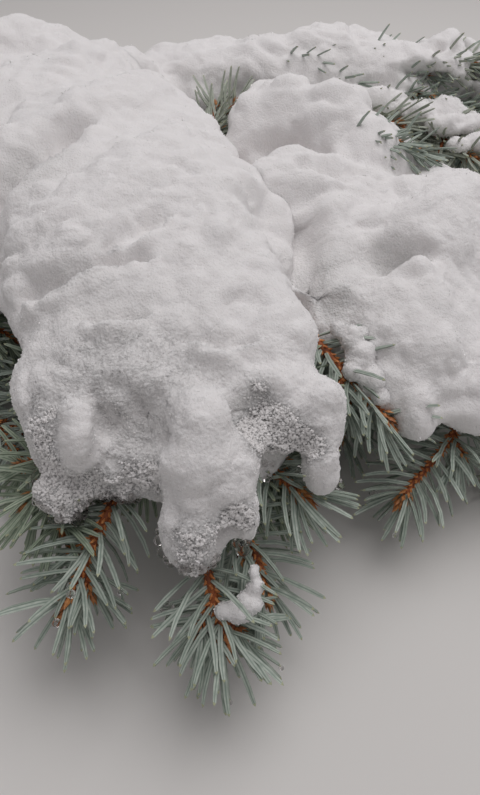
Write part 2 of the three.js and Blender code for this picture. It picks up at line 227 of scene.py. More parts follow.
# %% [markdown]
# ## Snow
# Fresh wet snow is a heap of ice grains, each under a millimetre. Light goes in and comes out some
# millimetres away, so snow glows softly and its shadows are pale: that is subsurface scattering. The grains
# show as a fine crumb on the surface. A noise pattern as a bump gives that, and a second, wider one keeps big
# areas from looking like plaster. IOR is that of ice.
# Where the snow is thin and soaked, at its lower edge, the air between the grains has gone: it turns greyer,
# glassier and more glossy, and crystals stand out. A value stored on the mesh, `wet`, from 0 to 1,
# says where. The same value is also raised in hollows, folds and the valley beside the front dome, where its
# greyer tone is painted shade.

# %% Snow finish
# Real grains are half a millimetre or less, too fine for the picture, so they are drawn 1 mm wide.
SNOW_GRAIN = 1.0 * MM
SNOW_CRUMB = 5.0 * MM

# Wet snow as it fell: dull white with a faint grain, and a dim gloss where it is soaked. It is greyer where it
# is soaked and where shade is painted into hollows and folds.
snow_finish, snow_shader = new_material("fresh_wet_snow")
where = add_node(snow_finish, "ShaderNodeTexCoord").outputs["Object"]
wet = add_node(snow_finish, "ShaderNodeAttribute", attribute_name="wet").outputs["Fac"]
grain = noise_pattern(snow_finish, SNOW_GRAIN, Detail=3.0, Roughness=0.65)
crumb = noise_pattern(snow_finish, SNOW_CRUMB, Detail=4.0, Roughness=0.6)
crystals = add_node(snow_finish, "ShaderNodeTexVoronoi", {"Vector": where, "Scale": 1 / SNOW_GRAIN})
ice_depth = worked_out(snow_finish, "MULTIPLY", crystals.outputs["Distance"], wet)
crumb_bump = relief(snow_finish, crumb, 0.45, 1.4 * MM)
grain_bump = relief(snow_finish, grain, 1.0, 0.9 * MM, crumb_bump)
crystal_bump = relief(snow_finish, ice_depth, 1.0, 1.1 * MM, grain_bump)
snow_tone = two_tones(snow_finish, crumb, "#efeceb", "#f6f4f4")
# Greyer tone where the snow is soaked, and painted shade in the hollows, folds and valley that share the same
# value.
soaked_and_shaded_tone = two_tones(snow_finish, wet, snow_tone, "#e4e3e2")
gloss = add_node(snow_finish, "ShaderNodeMapRange", {"Value": wet, "To Min": 0.7, "To Max": 0.22})
set_shader(
    snow_finish,
    snow_shader,
    Base_Color=soaked_and_shaded_tone,
    Roughness=gloss.outputs["Result"],
    IOR=1.31,
    Normal=crystal_bump,
    Subsurface_Weight=0.85,
    Subsurface_Radius=(1.0, 1.0, 1.0),
    Subsurface_Scale=2.5 * MM,
)
print(snow_finish.name, "has", len(snow_finish.node_tree.nodes), "nodes")

# %% [markdown]
# ## Limbs as lines
# A bough is one tapering limb along a smooth line. The line is a Catmull-Rom curve through a few points,
# thick end first. It is sampled once, and every later step asks it for a point, a direction along it, or the
# two directions across it. Those two are carried along the line without twist, so that bark and needles that
# wind round the limb don't slip.

# %% A smooth line through points
class Shoot:
    """The middle line of a limb or twig, from its foot to its tip, with its radius at both ends."""

    def __init__(self, through, radii, samples=60):
        p = np.array(through, float)
        p = np.vstack([2 * p[0] - p[1], p, 2 * p[-1] - p[-2]])
        t = np.linspace(0, len(p) - 3, samples)
        k = np.minimum(t.astype(int), len(p) - 4)
        w = (t - k)[:, None]
        a, b, c, d = p[k], p[k + 1], p[k + 2], p[k + 3]
        self.points = b + 0.5 * w * (c - a + w * (2 * a - 5 * b + 4 * c - d + w * (3 * (b - c) + d - a)))
        steps = np.linalg.norm(np.diff(self.points, axis=0), axis=1)
        self.reached = np.concatenate([[0], np.cumsum(steps)])
        self.length = self.reached[-1]
        self.reached /= self.length
        self.radii = radii
        self.directions = np.gradient(self.points, axis=0)
        self.directions /= np.linalg.norm(self.directions, axis=1)[:, None]
        across = np.cross(self.directions[0], [0, 0, 1])
        rows = []
        for direction in self.directions:
            across = across - direction * across.dot(direction)
            across = across / np.linalg.norm(across)
            rows.append(across)
        self.across = np.array(rows)

    def _spread(self, values, share):
        return np.stack([np.interp(share, self.reached, values[:, i]) for i in range(3)], axis=-1)

    def at(self, share):
        return self._spread(self.points, share)

    def along(self, share):
        direction = self._spread(self.directions, share)
        return direction / np.linalg.norm(direction, axis=-1, keepdims=True)

    def round(self, share, angle):
        """The direction straight out of the limb at an angle round it."""
        along = self.along(share)
        across = self._spread(self.across, share)
        upward = np.cross(across, along)
        return across * np.cos(angle)[..., None] + upward * np.sin(angle)[..., None]

    def radius(self, share):
        return self.radii[0] + (self.radii[1] - self.radii[0]) * share


# %% The stem and its six boughs, in millimetres
LIMBS = {
    "stem": (
        [(-170, 572, 6.2), (-158, 530, 30), (-146, 488, 49), (-130, 444, 61), (-108, 394, 66), (-82, 338, 68),
         (-60, 284, 69), (-42, 234, 68), (-28, 186, 64), (-17, 142, 59), (-12, 104, 50.5)],
        (7.6, 2.1),
    ),
    "bough_left_front": ([(-41, 228, 67), (-53, 190, 66), (-52, 156, 61), (-45, 131, 56)], (2.8, 2.0)),
    "bough_left": (
        [(-92, 358, 67), (-122, 322, 70), (-148, 276, 66), (-164, 230, 54), (-170, 196, 41)],
        (4.0, 2.1),
    ),
    "bough_left_back": ([(-140, 470, 54), (-176, 446, 58), (-206, 406, 52), (-222, 364, 38)], (3.8, 2.1)),
    "bough_right_front": ([(-47, 250, 68), (-18, 226, 76), (8, 208, 81), (29, 191, 80)], (3.0, 2.0)),
    "bough_right": (
        [(-94, 364, 67), (-34, 350, 73), (30, 324, 75), (82, 284, 69), (120, 238, 58), (140, 200, 46)],
        (4.4, 2.1),
    ),
    "bough_right_back": (
        [(-138, 464, 56), (-70, 456, 66), (10, 456, 72), (92, 456, 72), (164, 448, 66), (212, 414, 48)],
        (4.6, 2.1),
    ),
}
limbs = {name: Shoot(through, radii) for name, (through, radii) in LIMBS.items()}
tip_gap = placed(limbs["stem"].at(1.0))[1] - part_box("stem")[0][1]
print("stem's tip is", round(tip_gap / MM, 2), "mm from the CAD stem's")

# %% [markdown]
# ## The blanket of snow
# Snow drifts along a limb like a long loaf, and lies in heaps where twigs fork. A loaf starts as a sphere
# whose rows are laid across the limb, and a heap is a sphere stretched to its sizes, flatter below its
# middle. Spheres that overlap still show a crease, so a voxel remesh melts the group into one closed skin and
# a smoothing pass rounds the valleys. Lumps are then pushed out of that skin along its normals.

# %% Sizes of the snow, in millimetres
# A drift: its limb, from and to along it, then half width and rise spread along it, fall and lift.
# A heap: its middle, then half width, half depth, rise and fall.
SNOW = {
    "snow_front": (
        [("stem", 0.13, 0.965, [56, 68, 72, 70, 58], [66, 56, 50, 50, 44], 12, 8)],
        [(-140, 456, 70, 56, 50, 60, 16), (-44, 162, 70, 40, 36, 40, 12), (8, 178, 86, 19, 28, 18, 12),
         (-65, 142, 68, 11, 11, 14, 12), (-56, 136, 78, 10, 11, 18, 20), (-62, 125, 62, 10, 9, 9, 9),
         (-38, 133, 65, 22, 12, 14, 10), (-12, 130, 93, 11, 14, 13, 18), (-10.5, 120, 79, 15.5, 13, 17, 20),
         (-15, 108, 63, 11.5, 11, 14, 13), (2.5, 110, 67, 4, 5, 11, 10), (8, 152, 79, 20, 22, 18, 10),
         (28, 144, 80, 9, 14, 16, 14), (28.5, 129, 70, 6.5, 8, 10, 11)],
    ),
    "snow_right": (
        [],
        [(26, 372, 76, 34, 36, 48, 10), (50, 360, 78, 32, 34, 45, 10), (76, 334, 74, 32, 38, 36, 10),
         (104, 318, 70, 36, 36, 27, 10), (132, 300, 64, 34, 36, 30, 10), (24, 228, 74, 34, 38, 30, 12),
         (26, 274, 66, 66, 58, 46, 10), (80, 286, 68, 54, 46, 36, 10), (100, 256, 64, 52, 50, 42, 12),
         (76, 206, 62, 34, 46, 34, 12), (108, 208, 56, 44, 50, 34, 14), (70, 168, 62, 10, 16, 15, 12)],
    ),
    "snow_back": (
        [("bough_right_back", 0.1, 0.97, [36, 40, 38, 36], [56, 50, 51, 57], 10, 2)],
        [(-72, 430, 70, 40, 34, 48, 10), (88, 418, 84, 28, 18, 22, 12)],
    ),
    "snow_left": ([("bough_left", 0.2, 0.98, [50, 46, 34], [46, 44, 32], 10, 4)], []),
    "snow_left_back": ([("bough_left_back", 0.25, 0.97, [40, 38, 30], [54, 46, 32], 10, 4)], []),
    "snow_clump_back": (
        [],
        [(101, 407, 92, 12, 8, 7, 5), (117, 399, 92, 13, 9, 7, 5), (134, 402, 92, 13, 10, 7, 5),
         (129, 385, 90, 12, 8, 7, 5), (146, 389, 90, 12, 10, 7, 5), (148, 370, 87, 12, 8, 7, 5),
         (134, 367, 86, 8, 6, 5, 4)],
    ),
    "snow_clump_right": (
        [],
        [(45, 187, 81, 5, 6, 6, 5), (48.5, 181, 77, 6.5, 6.5, 6.5, 5), (52.5, 174, 71.5, 5.5, 6.5, 6, 5),
         (40, 190, 83, 4, 4, 4, 3), (53.5, 184, 78, 4, 4, 4, 3), (45, 175, 74, 3.5, 4, 4, 3),
         (57, 177, 72, 3.5, 4, 4, 3), (50, 190, 81, 4.5, 4, 3.5, 3), (56, 168, 68, 4, 4, 3.5, 3)],
    ),
    "snow_clump_tip": (
        [],
        [(-4, 90, 45.8, 3.4, 3, 3, 2.4), (0, 88.8, 45, 4.2, 3.5, 3.4, 2.8), (3.4, 91.4, 47.6, 4.2, 4, 3.8, 3),
         (5.2, 95.2, 51.2, 3, 3.4, 3.4, 3), (4.6, 98.4, 54, 1.9, 2.6, 2.4, 2)],
    ),
}
# How blunt a drift's ends are, and how square across it is: 1 is round.
LOAF_BLUNT = 0.55
LOAF_SQUARE = 0.75
# Height and width of slow waves, in millimetres, three of each in seeded directions.
LUMPS = [(2.0, 62), (1.3, 37), (0.7, 23)]
LUMP_SEED = 5
print(sum(len(drifts) + len(heaps) for drifts, heaps in SNOW.values()), "drifts and heaps")

# %% The slow lumps that the CAD snow has too
def seeded(seed):
    """A repeatable stream of numbers between 0 and 1."""
    state = seed
    while True:
        state = (state * 1664525 + 1013904223) % 2**32
        yield state / 2**32


def slow_waves():
    draw = seeded(LUMP_SEED)
    waves = []
    for height, wave in LUMPS:
        for axis in range(3):
            direction = np.array([next(draw) - 0.5 for i in range(3)])
            direction *= 2 * math.pi / wave / np.linalg.norm(direction)
            waves.append((height, direction, next(draw) * 2 * math.pi))
    return waves


WAVES = slow_waves()
print(len(WAVES), "slow waves")


def slow_lumps(points):
    return sum(height * np.sin(points @ direction + phase) for height, direction, phase in WAVES)


# %% Spheres laid along a limb, and spheres stretched to a heap
def sphere_points(vertices):
    return np.array([vertex.co for vertex in vertices])


def lay_loaf(shape, drift):
    """Adds a sphere to the bmesh and lays its rows across a limb as a long drift."""
    limb, start, end, wide, rise, fall, lift = drift
    shoot = limbs[limb]
    made = bmesh.ops.create_uvsphere(shape, u_segments=36, v_segments=40, radius=1)["verts"]
    unit = sphere_points(made)
    share = 0.5 - 0.5 * unit[:, 2]
    turn = np.linalg.norm(unit[:, :2], axis=1)
    swell = np.maximum(0.02, turn**LOAF_BLUNT)
    ring = unit[:, :2] / np.maximum(turn, 1e-9)[:, None]
    ring = np.sign(ring) * np.abs(ring) ** LOAF_SQUARE
    place = start + (end - start) * share
    left = np.cross([0, 0, 1], shoot.along(place))
    left /= np.linalg.norm(left, axis=1)[:, None]
    stations = lambda values: np.interp(share, np.linspace(0, 1, len(values)), values)
    high = np.where(ring[:, 1] > 0, stations(rise), fall)
    points = shoot.at(place) + [0, 0, lift]
    points += left * (ring[:, 0] * stations(wide) * swell)[:, None]
    points[:, 2] += ring[:, 1] * high * swell
    outward = left * ring[:, :1]
    outward[:, 2] += ring[:, 1]
    points += outward * (slow_lumps(points) * swell * np.where(ring[:, 1] > 0, 1, 0.4))[:, None]
    for vertex, point in zip(made, points):
        vertex.co = point


def stretch_heap(shape, heap):
    """Adds a sphere to the bmesh and stretches it to a heap's sizes."""
    x, y, z, wide, deep, rise, fall = heap
    made = bmesh.ops.create_icosphere(shape, subdivisions=4, radius=1)["verts"]
    unit = sphere_points(made)
    up = unit[:, 2] > 0
    height = np.where(up, rise, fall)
    points = unit * np.stack([np.full(len(unit), wide), np.full(len(unit), deep), height], axis=1)
    points += [x, y, z]
    points += unit * (slow_lumps(points) * min(1, wide / 40) * np.where(up, 1, 0.4))[:, None]
    for vertex, point in zip(made, points):
        vertex.co = point


# %% [markdown]
# ## Lumps and crumbs
# Fallen snow is not smooth: flakes clump to puffs a finger wide, with soft creases between, and each puff
# carries smaller ones, down to crumbs. A noise that is folded at zero makes just that: round tops and narrow
# valleys, here with the fold itself rounded off a little, because wet snow has no sharp crease. Four sizes of
# it are added up, each about half as wide as the one before. A size is only used where the skin's own mesh is
# fine enough to carry it, or it would turn into stripes.
# Near the eye the skin needs a finer mesh than far away, so faces in front are cut in four, once or twice.

# %% Puffs and crumbs
# Width of a puff and how far it stands out, in millimetres. The pattern is bent by a slow drift of its own.
PUFFS = [(15.0, 5.0), (7.0, 1.6), (3.4, 0.6), (1.7, 0.4)]
SOFT_FOLD = 0.01
MEAN_FOLD = 0.25
FACES_PER_PUFF = 2.4
DRIFT = 3.0
DRIFT_WAVE = 30.0
# The noise that bends the pattern starts from the clock unless it is given a seed.
DRIFT_SEED = 7
noise.seed_set(DRIFT_SEED)


def crumble(point, fineness):
    """How far the snow stands out at a point, in millimetres, where the mesh has faces of a given size."""
    spot = Vector(point)
    bent = spot + DRIFT * noise.noise_vector(spot / DRIFT_WAVE)
    out = 0.0
    for wave, height in PUFFS:
        if wave > FACES_PER_PUFF * fineness:
            out += height * (math.sqrt(noise.noise(bent / wave) ** 2 + SOFT_FOLD) - MEAN_FOLD)
    return out


print(len(PUFFS), "sizes of puff, from", PUFFS[0][0], "down to", PUFFS[-1][0], "mm")

# %% One closed skin from many shapes
def skin(shape, name, voxel, rounds):
    """Melts the closed shapes of a bmesh into one smooth closed mesh."""
    rough = bpy.data.meshes.new(name + "_rough")
    shape.to_mesh(rough)
    shape.free()
    carrier = add_object(name + "_rough", rough)
    melt = carrier.modifiers.new("melt", "REMESH")
    melt.mode = "VOXEL"
    melt.voxel_size = voxel
    settle = carrier.modifiers.new("settle", "SMOOTH")
    settle.factor = 0.5
    settle.iterations = rounds
    done = carrier.evaluated_get(bpy.context.evaluated_depsgraph_get())
    mesh = bpy.data.meshes.new_from_object(done)
    bpy.data.objects.remove(carrier)
    bpy.data.meshes.remove(rough)
    mesh.name = name
    return mesh


def drop_scraps(mesh):
    """Drops loose scraps: skins with less than a twentieth of the points of the largest one."""
    shape = bmesh.new()
    shape.from_mesh(mesh)
    left = set(shape.verts)
    groups = []
    while left:
        group = {left.pop()}
        front = list(group)
        while front:
            vertex = front.pop()
            for edge in vertex.link_edges:
                other = edge.other_vert(vertex)
                if other in left:
                    left.discard(other)
                    group.add(other)
                    front.append(other)
        groups.append(group)
    least = max(len(group) for group in groups) / 20
    scraps = [vertex for group in groups if len(group) < least for vertex in group]
    bmesh.ops.delete(shape, geom=scraps, context="VERTS")
    shape.to_mesh(mesh)
    shape.free()


# %% A finer mesh near the eye
def refine(mesh, nearer_than):
    """Cuts the faces in four that face the eye and are near it."""
    eye = Vector((0, 0, EYE_HEIGHT))
    shape = bmesh.new()
    shape.from_mesh(mesh)
    faces = []
    for face in shape.faces:
        sight = eye - face.calc_center_median()
        if sight.length < nearer_than and sight.normalized().dot(face.normal) > -0.15:
            faces.append(face)
    edges = list(dict.fromkeys(edge for face in faces for edge in face.edges))
    bmesh.ops.subdivide_edges(shape, edges=edges, cuts=1, use_grid_fill=True)
    bmesh.ops.triangulate(shape, faces=[face for face in shape.faces if len(face.verts) > 4])
    moved = [vertex for vertex in shape.verts if (eye - vertex.co).length < nearer_than + 5]
    bmesh.ops.smooth_vert(shape, verts=moved, factor=0.5, use_axis_x=True, use_axis_y=True, use_axis_z=True)
    shape.to_mesh(mesh)
    shape.free()


def mesh_array(mesh, field):
    """One vector for each point of a mesh: its place, or its normal."""
    values = np.empty(len(mesh.vertices) * 3, np.float32)
    mesh.vertices.foreach_get(field, values)
    return values.reshape(-1, 3).astype(float)


def face_size(mesh):
    """The mean length of the edges at each point."""
    points = mesh_array(mesh, "co")
    ends = np.empty(len(mesh.edges) * 2, np.int32)
    mesh.edges.foreach_get("vertices", ends)
    ends = ends.reshape(-1, 2)
    length = np.linalg.norm(points[ends[:, 0]] - points[ends[:, 1]], axis=1)
    total = np.bincount(ends.ravel(), np.repeat(length, 2), len(points))
    return total / np.bincount(ends.ravel(), minlength=len(points))


# %% [markdown]
# ## What the weather did to this snow
# Four things mark one load of snow off from another, and all of them are places on its skin, in millimetres.
# Thumb marks are round dents and knobs. Folds are where one layer has slid over another and hangs over as a
# lip. The valley is the groove where the front dome leans against the snow on the right. Soaked places are
# where meltwater has come through and greyed the snow. Some of them are painted shade instead: they grey
# hollows, folds and the valley, and negative ones keep a block light. Heights are added along the normals
# before the skin is finished.

# %% Dents, folds, soaked places and painted shade
# Thumb marks: middle, radius, and how far they stand out.
MARKS = [
    (-34, 132, 87, 13, -6), (-29, 140, 94, 8, -3), (-53, 135, 93, 8, 4), (-53, 129, 87, 8, 5),
    (-53, 125, 81, 8, 5), (-46, 135, 87, 8, -3), (6, 136, 92, 14, -6), (14, 130, 85, 10, -4),
    (-5, 155, 97, 10, 3), (-44, 160, 107, 8, 3), (-44, 126, 74, 6, 4), (-4, 103, 68, 6, -8),
    (-3, 101, 63, 7, -8), (8, 128, 71, 12, -7), (71, 252, 98, 17, 6), (68, 232, 91, 13, -13),
    (74, 216, 96, 9, 5), (60, 225, 94, 9, -7), (78, 226, 96, 9, -6), (47, 288, 109, 15, -10),
    (32, 289, 111, 8, -6), (59, 295, 104, 8, -5), (112, 424, 112, 10, -13), (122, 420, 109, 10, -14),
    (132, 419, 105, 10, -14), (143, 418, 101, 10, -14), (156, 420, 95, 11, -14), (156, 430, 109, 9, -10),
    (130, 435, 121, 7, -6), (140, 435, 121, 7, -6), (155, 447, 119, 8, -7), (15, 198, 108, 24, 6),
    (20, 174, 104, 16, 2), (16, 246, 109, 24, -8),
]

# Folds: a line along the lip with the sunk snow on its left, how far the fold reaches, how far the snow is
# sunk behind the lip, and how far the lip stands out.
FOLDS = [
    ([(-101, 242, 111), (-95, 247, 114), (-89, 258, 116), (-81, 268, 120), (-76, 282, 121)], 20, 14, 3),
    ([(-74, 182, 104), (-65, 182, 107), (-59, 186, 107), (-52, 189, 108), (-44, 192, 110)], 12, 7, 3),
    ([(-44, 203, 115), (-37, 206, 117), (-31, 214, 117)], 9, 4, 2.5),
    ([(-50, 164, 106), (-43, 163, 107), (-38, 166, 107)], 8, 3.5, 2.5),
    ([(-12, 157, 102), (-5, 155, 101), (0, 158, 101)], 8, 3.5, 2.5),
]
# The valley beside the front dome, which is pressed into the snow on the right only.
VALLEY_MARKS = [
    (27, 262, 106, 20, -9), (29, 243, 103, 20, -12), (34, 222, 100, 20, -14), (39, 201, 90, 13, -9),
]
VALLEY_FOLDS = [([(-4, 264, 112), (2, 244, 106), (9, 228, 100), (16, 208, 96)], 26, 12, 0)]
# Where a fold is deepest behind its line and its lip highest in front, and how wide both are, as shares of
# its reach.
SUNK_PLACE = 0.5
SUNK_WIDTH = 0.45
LIP_PLACE = 0.35
LIP_WIDTH = 0.35

# Where the snow is soaked along its lower edge, and where its tone is greyed as painted shade. The shaded
# places are the hollow behind the front dome's left crest, the ledge fold, the left side and the lower front,
# the right hollow (partly soaked as well) and the valley beside the front dome. Each has a middle, radius, and
# how much; the negative ones keep the finger-like block light.
SOAKED_AND_SHADED = [
    (-66, 133, 87, 15, 0.4), (-63, 124, 71, 17, 0.65), (-45, 124, 65, 17, 0.7), (-30, 121, 75, 13, 0.6),
    (-38, 132, 86, 15, 0.1), (-14, 99, 71, 17, 0.5), (0, 105, 75, 10, 0.9), (7, 133, 90, 15, 0.8),
    (14, 131, 84, 15, 0.9), (5, 142, 99, 10, 0.5), (24, 130, 82, 10, 0.6), (-42, 150, 96, 62, 0.3),
    (-12, 126, 100, 17, -0.4), (-11, 117, 86, 17, -0.4), (-53, 130, 88, 13, -0.4), (-91, 262, 115, 32, 0.4),
    (-60, 190, 110, 20, 0.2), (-84, 196, 100, 40, 0.1), (68, 232, 91, 20, 0.4), (36, 225, 98, 28, 0.4),
    (37, 202, 89, 22, 0.45), (60, 195, 84, 30, 0.12), (-62, 120, 58, 13, 0.6), (-14, 98, 55, 13, 0.5),
]
SOAKED_AND_SHADED_GAIN = 1.8
RAGGED = 0.5
RAGGED_WAVE = 4.0
print(len(MARKS), "marks,", len(FOLDS), "folds and", len(SOAKED_AND_SHADED), "soaked places")

# %% What they add at each point
def spots(points, listed):
    """For each point, what each listed spot adds there, fading out towards its rim."""
    for x, y, z, radius, height in listed:
        near = 1 - np.sum((points - [x, y, z]) ** 2, axis=1) / radius**2
        yield height * np.maximum(near, 0) ** 2


def folds(points, listed):
    """For each point, how far it stands out along the listed folds."""
    out = np.zeros(len(points))
    for line, reach, sunk, lip in listed:
        line = np.array(line, float)
        nearest = np.full(len(points), np.inf)
        for start, along in zip(line, np.diff(line, axis=0)):
            share = np.clip((points - start) @ along / (along @ along), 0, 1)
            off = points - start - share[:, None] * along
            behind = np.sign(along[0] * off[:, 1] - along[1] * off[:, 0])
            distance = np.linalg.norm(off, axis=1) * behind
            nearest = np.where(np.abs(distance) < np.abs(nearest), distance, nearest)
        out -= sunk * np.exp(-(((nearest / reach) - SUNK_PLACE) / SUNK_WIDTH) ** 2)
        out += lip * np.exp(-(((nearest / reach) + LIP_PLACE) / LIP_WIDTH) ** 2)
    return out


def wet_and_shade_level(points):
    """How wet the snow is at each point, and how much shade is painted there, from 0 to 1, with a ragged
    border.
    """
    wetness_and_shade = SOAKED_AND_SHADED_GAIN * sum(spots(points, SOAKED_AND_SHADED))
    for i in np.flatnonzero(wetness_and_shade > 0.05):
        wetness_and_shade[i] += RAGGED * min(wetness_and_shade[i], 1.0) * noise.noise(Vector(points[i]) / RAGGED_WAVE)
    return np.clip(wetness_and_shade, 0, 1)


# %% [markdown]
# ## The skins themselves
# Each skin has its own fineness. The ones near the eye start coarse and are cut finer only where the eye is
# near, and the small heaps start fine. Where the mesh is finest, single points also stand in or out by
# chance, like grains. They stand twice as much where the snow is soaked or painted shade greys it. The two
# skins beside the view are one plain loaf each, so wide waves give them the heaps that such snow has.

# %% How fine each skin is
# Single grains: how far points stand in or out, in millimetres, and the size of face that counts as fine.
ROUGH = 0.5
FINE_FACE = 1.0
WIDE_WAVE = 32.0
FINE_VOXEL = 1.0
SMALL_HEAP_LUMPS = 0.7
FLOOR_CLEARANCE = 0.3

# Voxel size, rounds of smoothing, the distances from the eye within which faces are cut in four, and how far
# wide waves stand out.
SKIN = {
    "snow_front": (2.2, 8, [280, 212], 0.0),
    "snow_right": (2.2, 8, [330], 0.0),
    "snow_back": (1.7, 6, [], 0.0),
    "snow_left": (1.8, 6, [], 11.0),
    "snow_left_back": (1.8, 6, [], 11.0),
    "snow_clump_back": (1.1, 7, [], 0.0),
    "snow_clump_right": (0.6, 5, [], 0.0),
    "snow_clump_tip": (0.6, 5, [], 0.0),
}
print(len(SKIN), "skins")

# %% One skin for each load of snow
def make_snow(name):
    drifts, heaps = SNOW[name]
    voxel, rounds, near, wide = SKIN[name]
    shape = bmesh.new()
    for drift in drifts:
        lay_loaf(shape, drift)
    for heap in heaps:
        stretch_heap(shape, heap)
    mesh = skin(shape, name, voxel, rounds)
    drop_scraps(mesh)
    for distance in near:
        refine(mesh, distance)
    points = mesh_array(mesh, "co")
    normals = mesh_array(mesh, "normal")
    wetness_and_shade = wet_and_shade_level(points)
    sizes = face_size(mesh)
    out = np.array([crumble(point, size) for point, size in zip(points, sizes)])
    if voxel < FINE_VOXEL:
        out *= SMALL_HEAP_LUMPS
    else:
        # Lumps build up on top; flanks stay smoother, apart from those that are soaked or carry painted shade.
        out *= np.maximum(np.clip(0.5 + normals[:, 2], 0.3, 1), wetness_and_shade)
    out += sum(spots(points, MARKS)) + folds(points, FOLDS)
    if name == "snow_right":
        out += sum(spots(points, VALLEY_MARKS)) + folds(points, VALLEY_FOLDS)
    if wide:
        out += [wide * noise.noise(Vector(point) / WIDE_WAVE) for point in points]
    rough = np.random.default_rng(len(points)).random(len(points)) - 0.5
    out += ROUGH * (1 + wetness_and_shade) * rough * (sizes < FINE_FACE)
    points += normals * out[:, None]
    points[:, 2] = np.maximum(points[:, 2], FLOOR_CLEARANCE)
    mesh.vertices.foreach_set("co", placed(points).astype(np.float32).ravel())
    mesh.update()
    mesh.shade_smooth()
    # The value that greys the snow: wetness, and painted shade in hollows, folds and the valley.
    edge = mesh.attributes.new("wet", "FLOAT", "POINT")
    edge.data.foreach_set("value", wetness_and_shade.astype(np.float32))
    mesh.materials.append(snow_finish)
    piece = add_object("blanket_" + name, mesh)
    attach(piece, "root")
    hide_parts(name)
    corners = sum(len(face.vertices) - 2 for face in mesh.polygons)
    print(piece.name, corners, "triangles")
    return piece


snow_pieces = [make_snow(name) for name in SNOW]

# %% [markdown]
# ## Bark
# A young spruce shoot is orange-brown and grooved: each needle stands on a small woody peg that runs down the
# shoot, and the pegs wind round it by the golden angle, 137.5 degrees from one to the next. On older wood the
# pegs stay as a scaly relief and the colour goes grey-brown. The relief is real geometry, because it breaks
# the outline of the twig. The finish adds cork-like grain and a colour that turns lighter where that grain and
# a slower patch pattern are both high.

# %% Bark finishes
BARK_GRAIN = 0.8 * MM
BARK_PATCH = 6.0 * MM


def bark_finish(name, groove, ridge, roughness):
    """Bark in two tones: ridges stand out lighter where the grain is high."""
    material, shader = new_material(name)
    fine = noise_pattern(material, BARK_GRAIN, Detail=4.0, Roughness=0.6)
    patch = noise_pattern(material, BARK_PATCH, Detail=2.0)
    blend = worked_out(material, "MULTIPLY", fine, patch)
    limits = {"Value": blend, "From Min": 0.12, "From Max": 0.4}
    tone = add_node(material, "ShaderNodeMapRange", limits).outputs["Result"]
    mix = two_tones(material, tone, groove, ridge)
    bump = relief(material, fine, 0.6, 0.35 * MM)
    set_shader(material, shader, Base_Color=mix, Roughness=roughness, Normal=bump)
    return material


# Bark of old wood, weathered grey-brown: dull and rough.
# Bark of last year's shoots: orange-brown, with a dim sheen.
old_bark = bark_finish("old_spruce_bark", "#43332a", "#85705e", 0.85)
young_bark = bark_finish("young_spruce_bark", "#5a2a14", "#b3622f", 0.6)
print("bark:", old_bark.name, young_bark.name)

# %% The sawn end
# Softwood, freshly sawn across: pale, with darker rings round the pith.
cut_wood, cut_shader = new_material("fresh_cut_spruce_wood")
RING_WIDTH = 0.9 * MM
heart = placed(limbs["stem"].at(0.0))
cut_where = add_node(cut_wood, "ShaderNodeTexCoord").outputs["Object"]
cut_place = add_node(cut_wood, "ShaderNodeMapping", {"Vector": cut_where, "Location": tuple(-heart)})
rings = add_node(
    cut_wood,
    "ShaderNodeTexWave",
    {
        "Vector": cut_place.outputs["Vector"],
        "Scale": 1 / (RING_WIDTH * 20),
        "Distortion": 1.2,
        "Detail": 2.0,
    },
    wave_type="RINGS",
    rings_direction="SPHERICAL",
)
ring_tone = two_tones(cut_wood, rings.outputs["Fac"], "#b98d5c", "#e2c79b")
set_shader(cut_wood, cut_shader, Base_Color=ring_tone, Roughness=0.7)
print("wood:", cut_wood.name, "with rings", round(RING_WIDTH / MM, 2), "mm wide")

# %% [markdown]
# ## The stem and the boughs
# A grid is rolled round each limb's line: its long side runs along the limb, its short side goes round, the
# two edges meet and are merged, and the two open ends are closed. Each point then moves out by the height of
# the peg it stands on. The height is found from the nearest pegs of the spiral.

# %% Pegs that wind round a shoot
GOLDEN_ANGLE = math.radians(137.508)
PEG_LENGTH = 1.9
PEG_WIDTH = 0.8
PEG_SUNK = 0.3
SWELL_LENGTH = 9.0


def peg_height(shoot, share, angle, per_mm):
    """How high the bark stands at a place on a shoot, as a share of a whole peg."""
    along = share * shoot.length
    number = np.floor(along * per_mm)
    highest = np.zeros(len(share))
    for step in range(-9, 10):
        nearest = number + step
        down = along - nearest / per_mm
        turn = (angle - nearest * GOLDEN_ANGLE + math.pi) % (2 * math.pi) - math.pi
        aside = turn * shoot.radius(share)
        peg = np.exp(-((down / PEG_LENGTH) ** 2) - (aside / PEG_WIDTH) ** 2)
        highest = np.maximum(highest, peg)
    return highest


def on_bark(shoot, share, angle, height, per_mm, swell=0.0):
    """Points on the bark of a shoot, at shares along it and angles round it."""
    thick = shoot.radius(share) * (1 + swell * np.exp(-share * shoot.length / SWELL_LENGTH))
    thick = thick - PEG_SUNK * height + height * peg_height(shoot, share, angle, per_mm)
    return shoot.at(share) + shoot.round(share, angle) * thick[:, None]


# %% Roll a grid round each limb
LIMB_SIDES = 20
LIMB_RING_STEP = 1.7
LIMB_PEG = 0.55
LIMB_SWELL = 0.25
BARK_LUMP = 0.16
BARK_LUMP_WAVE = 2.2


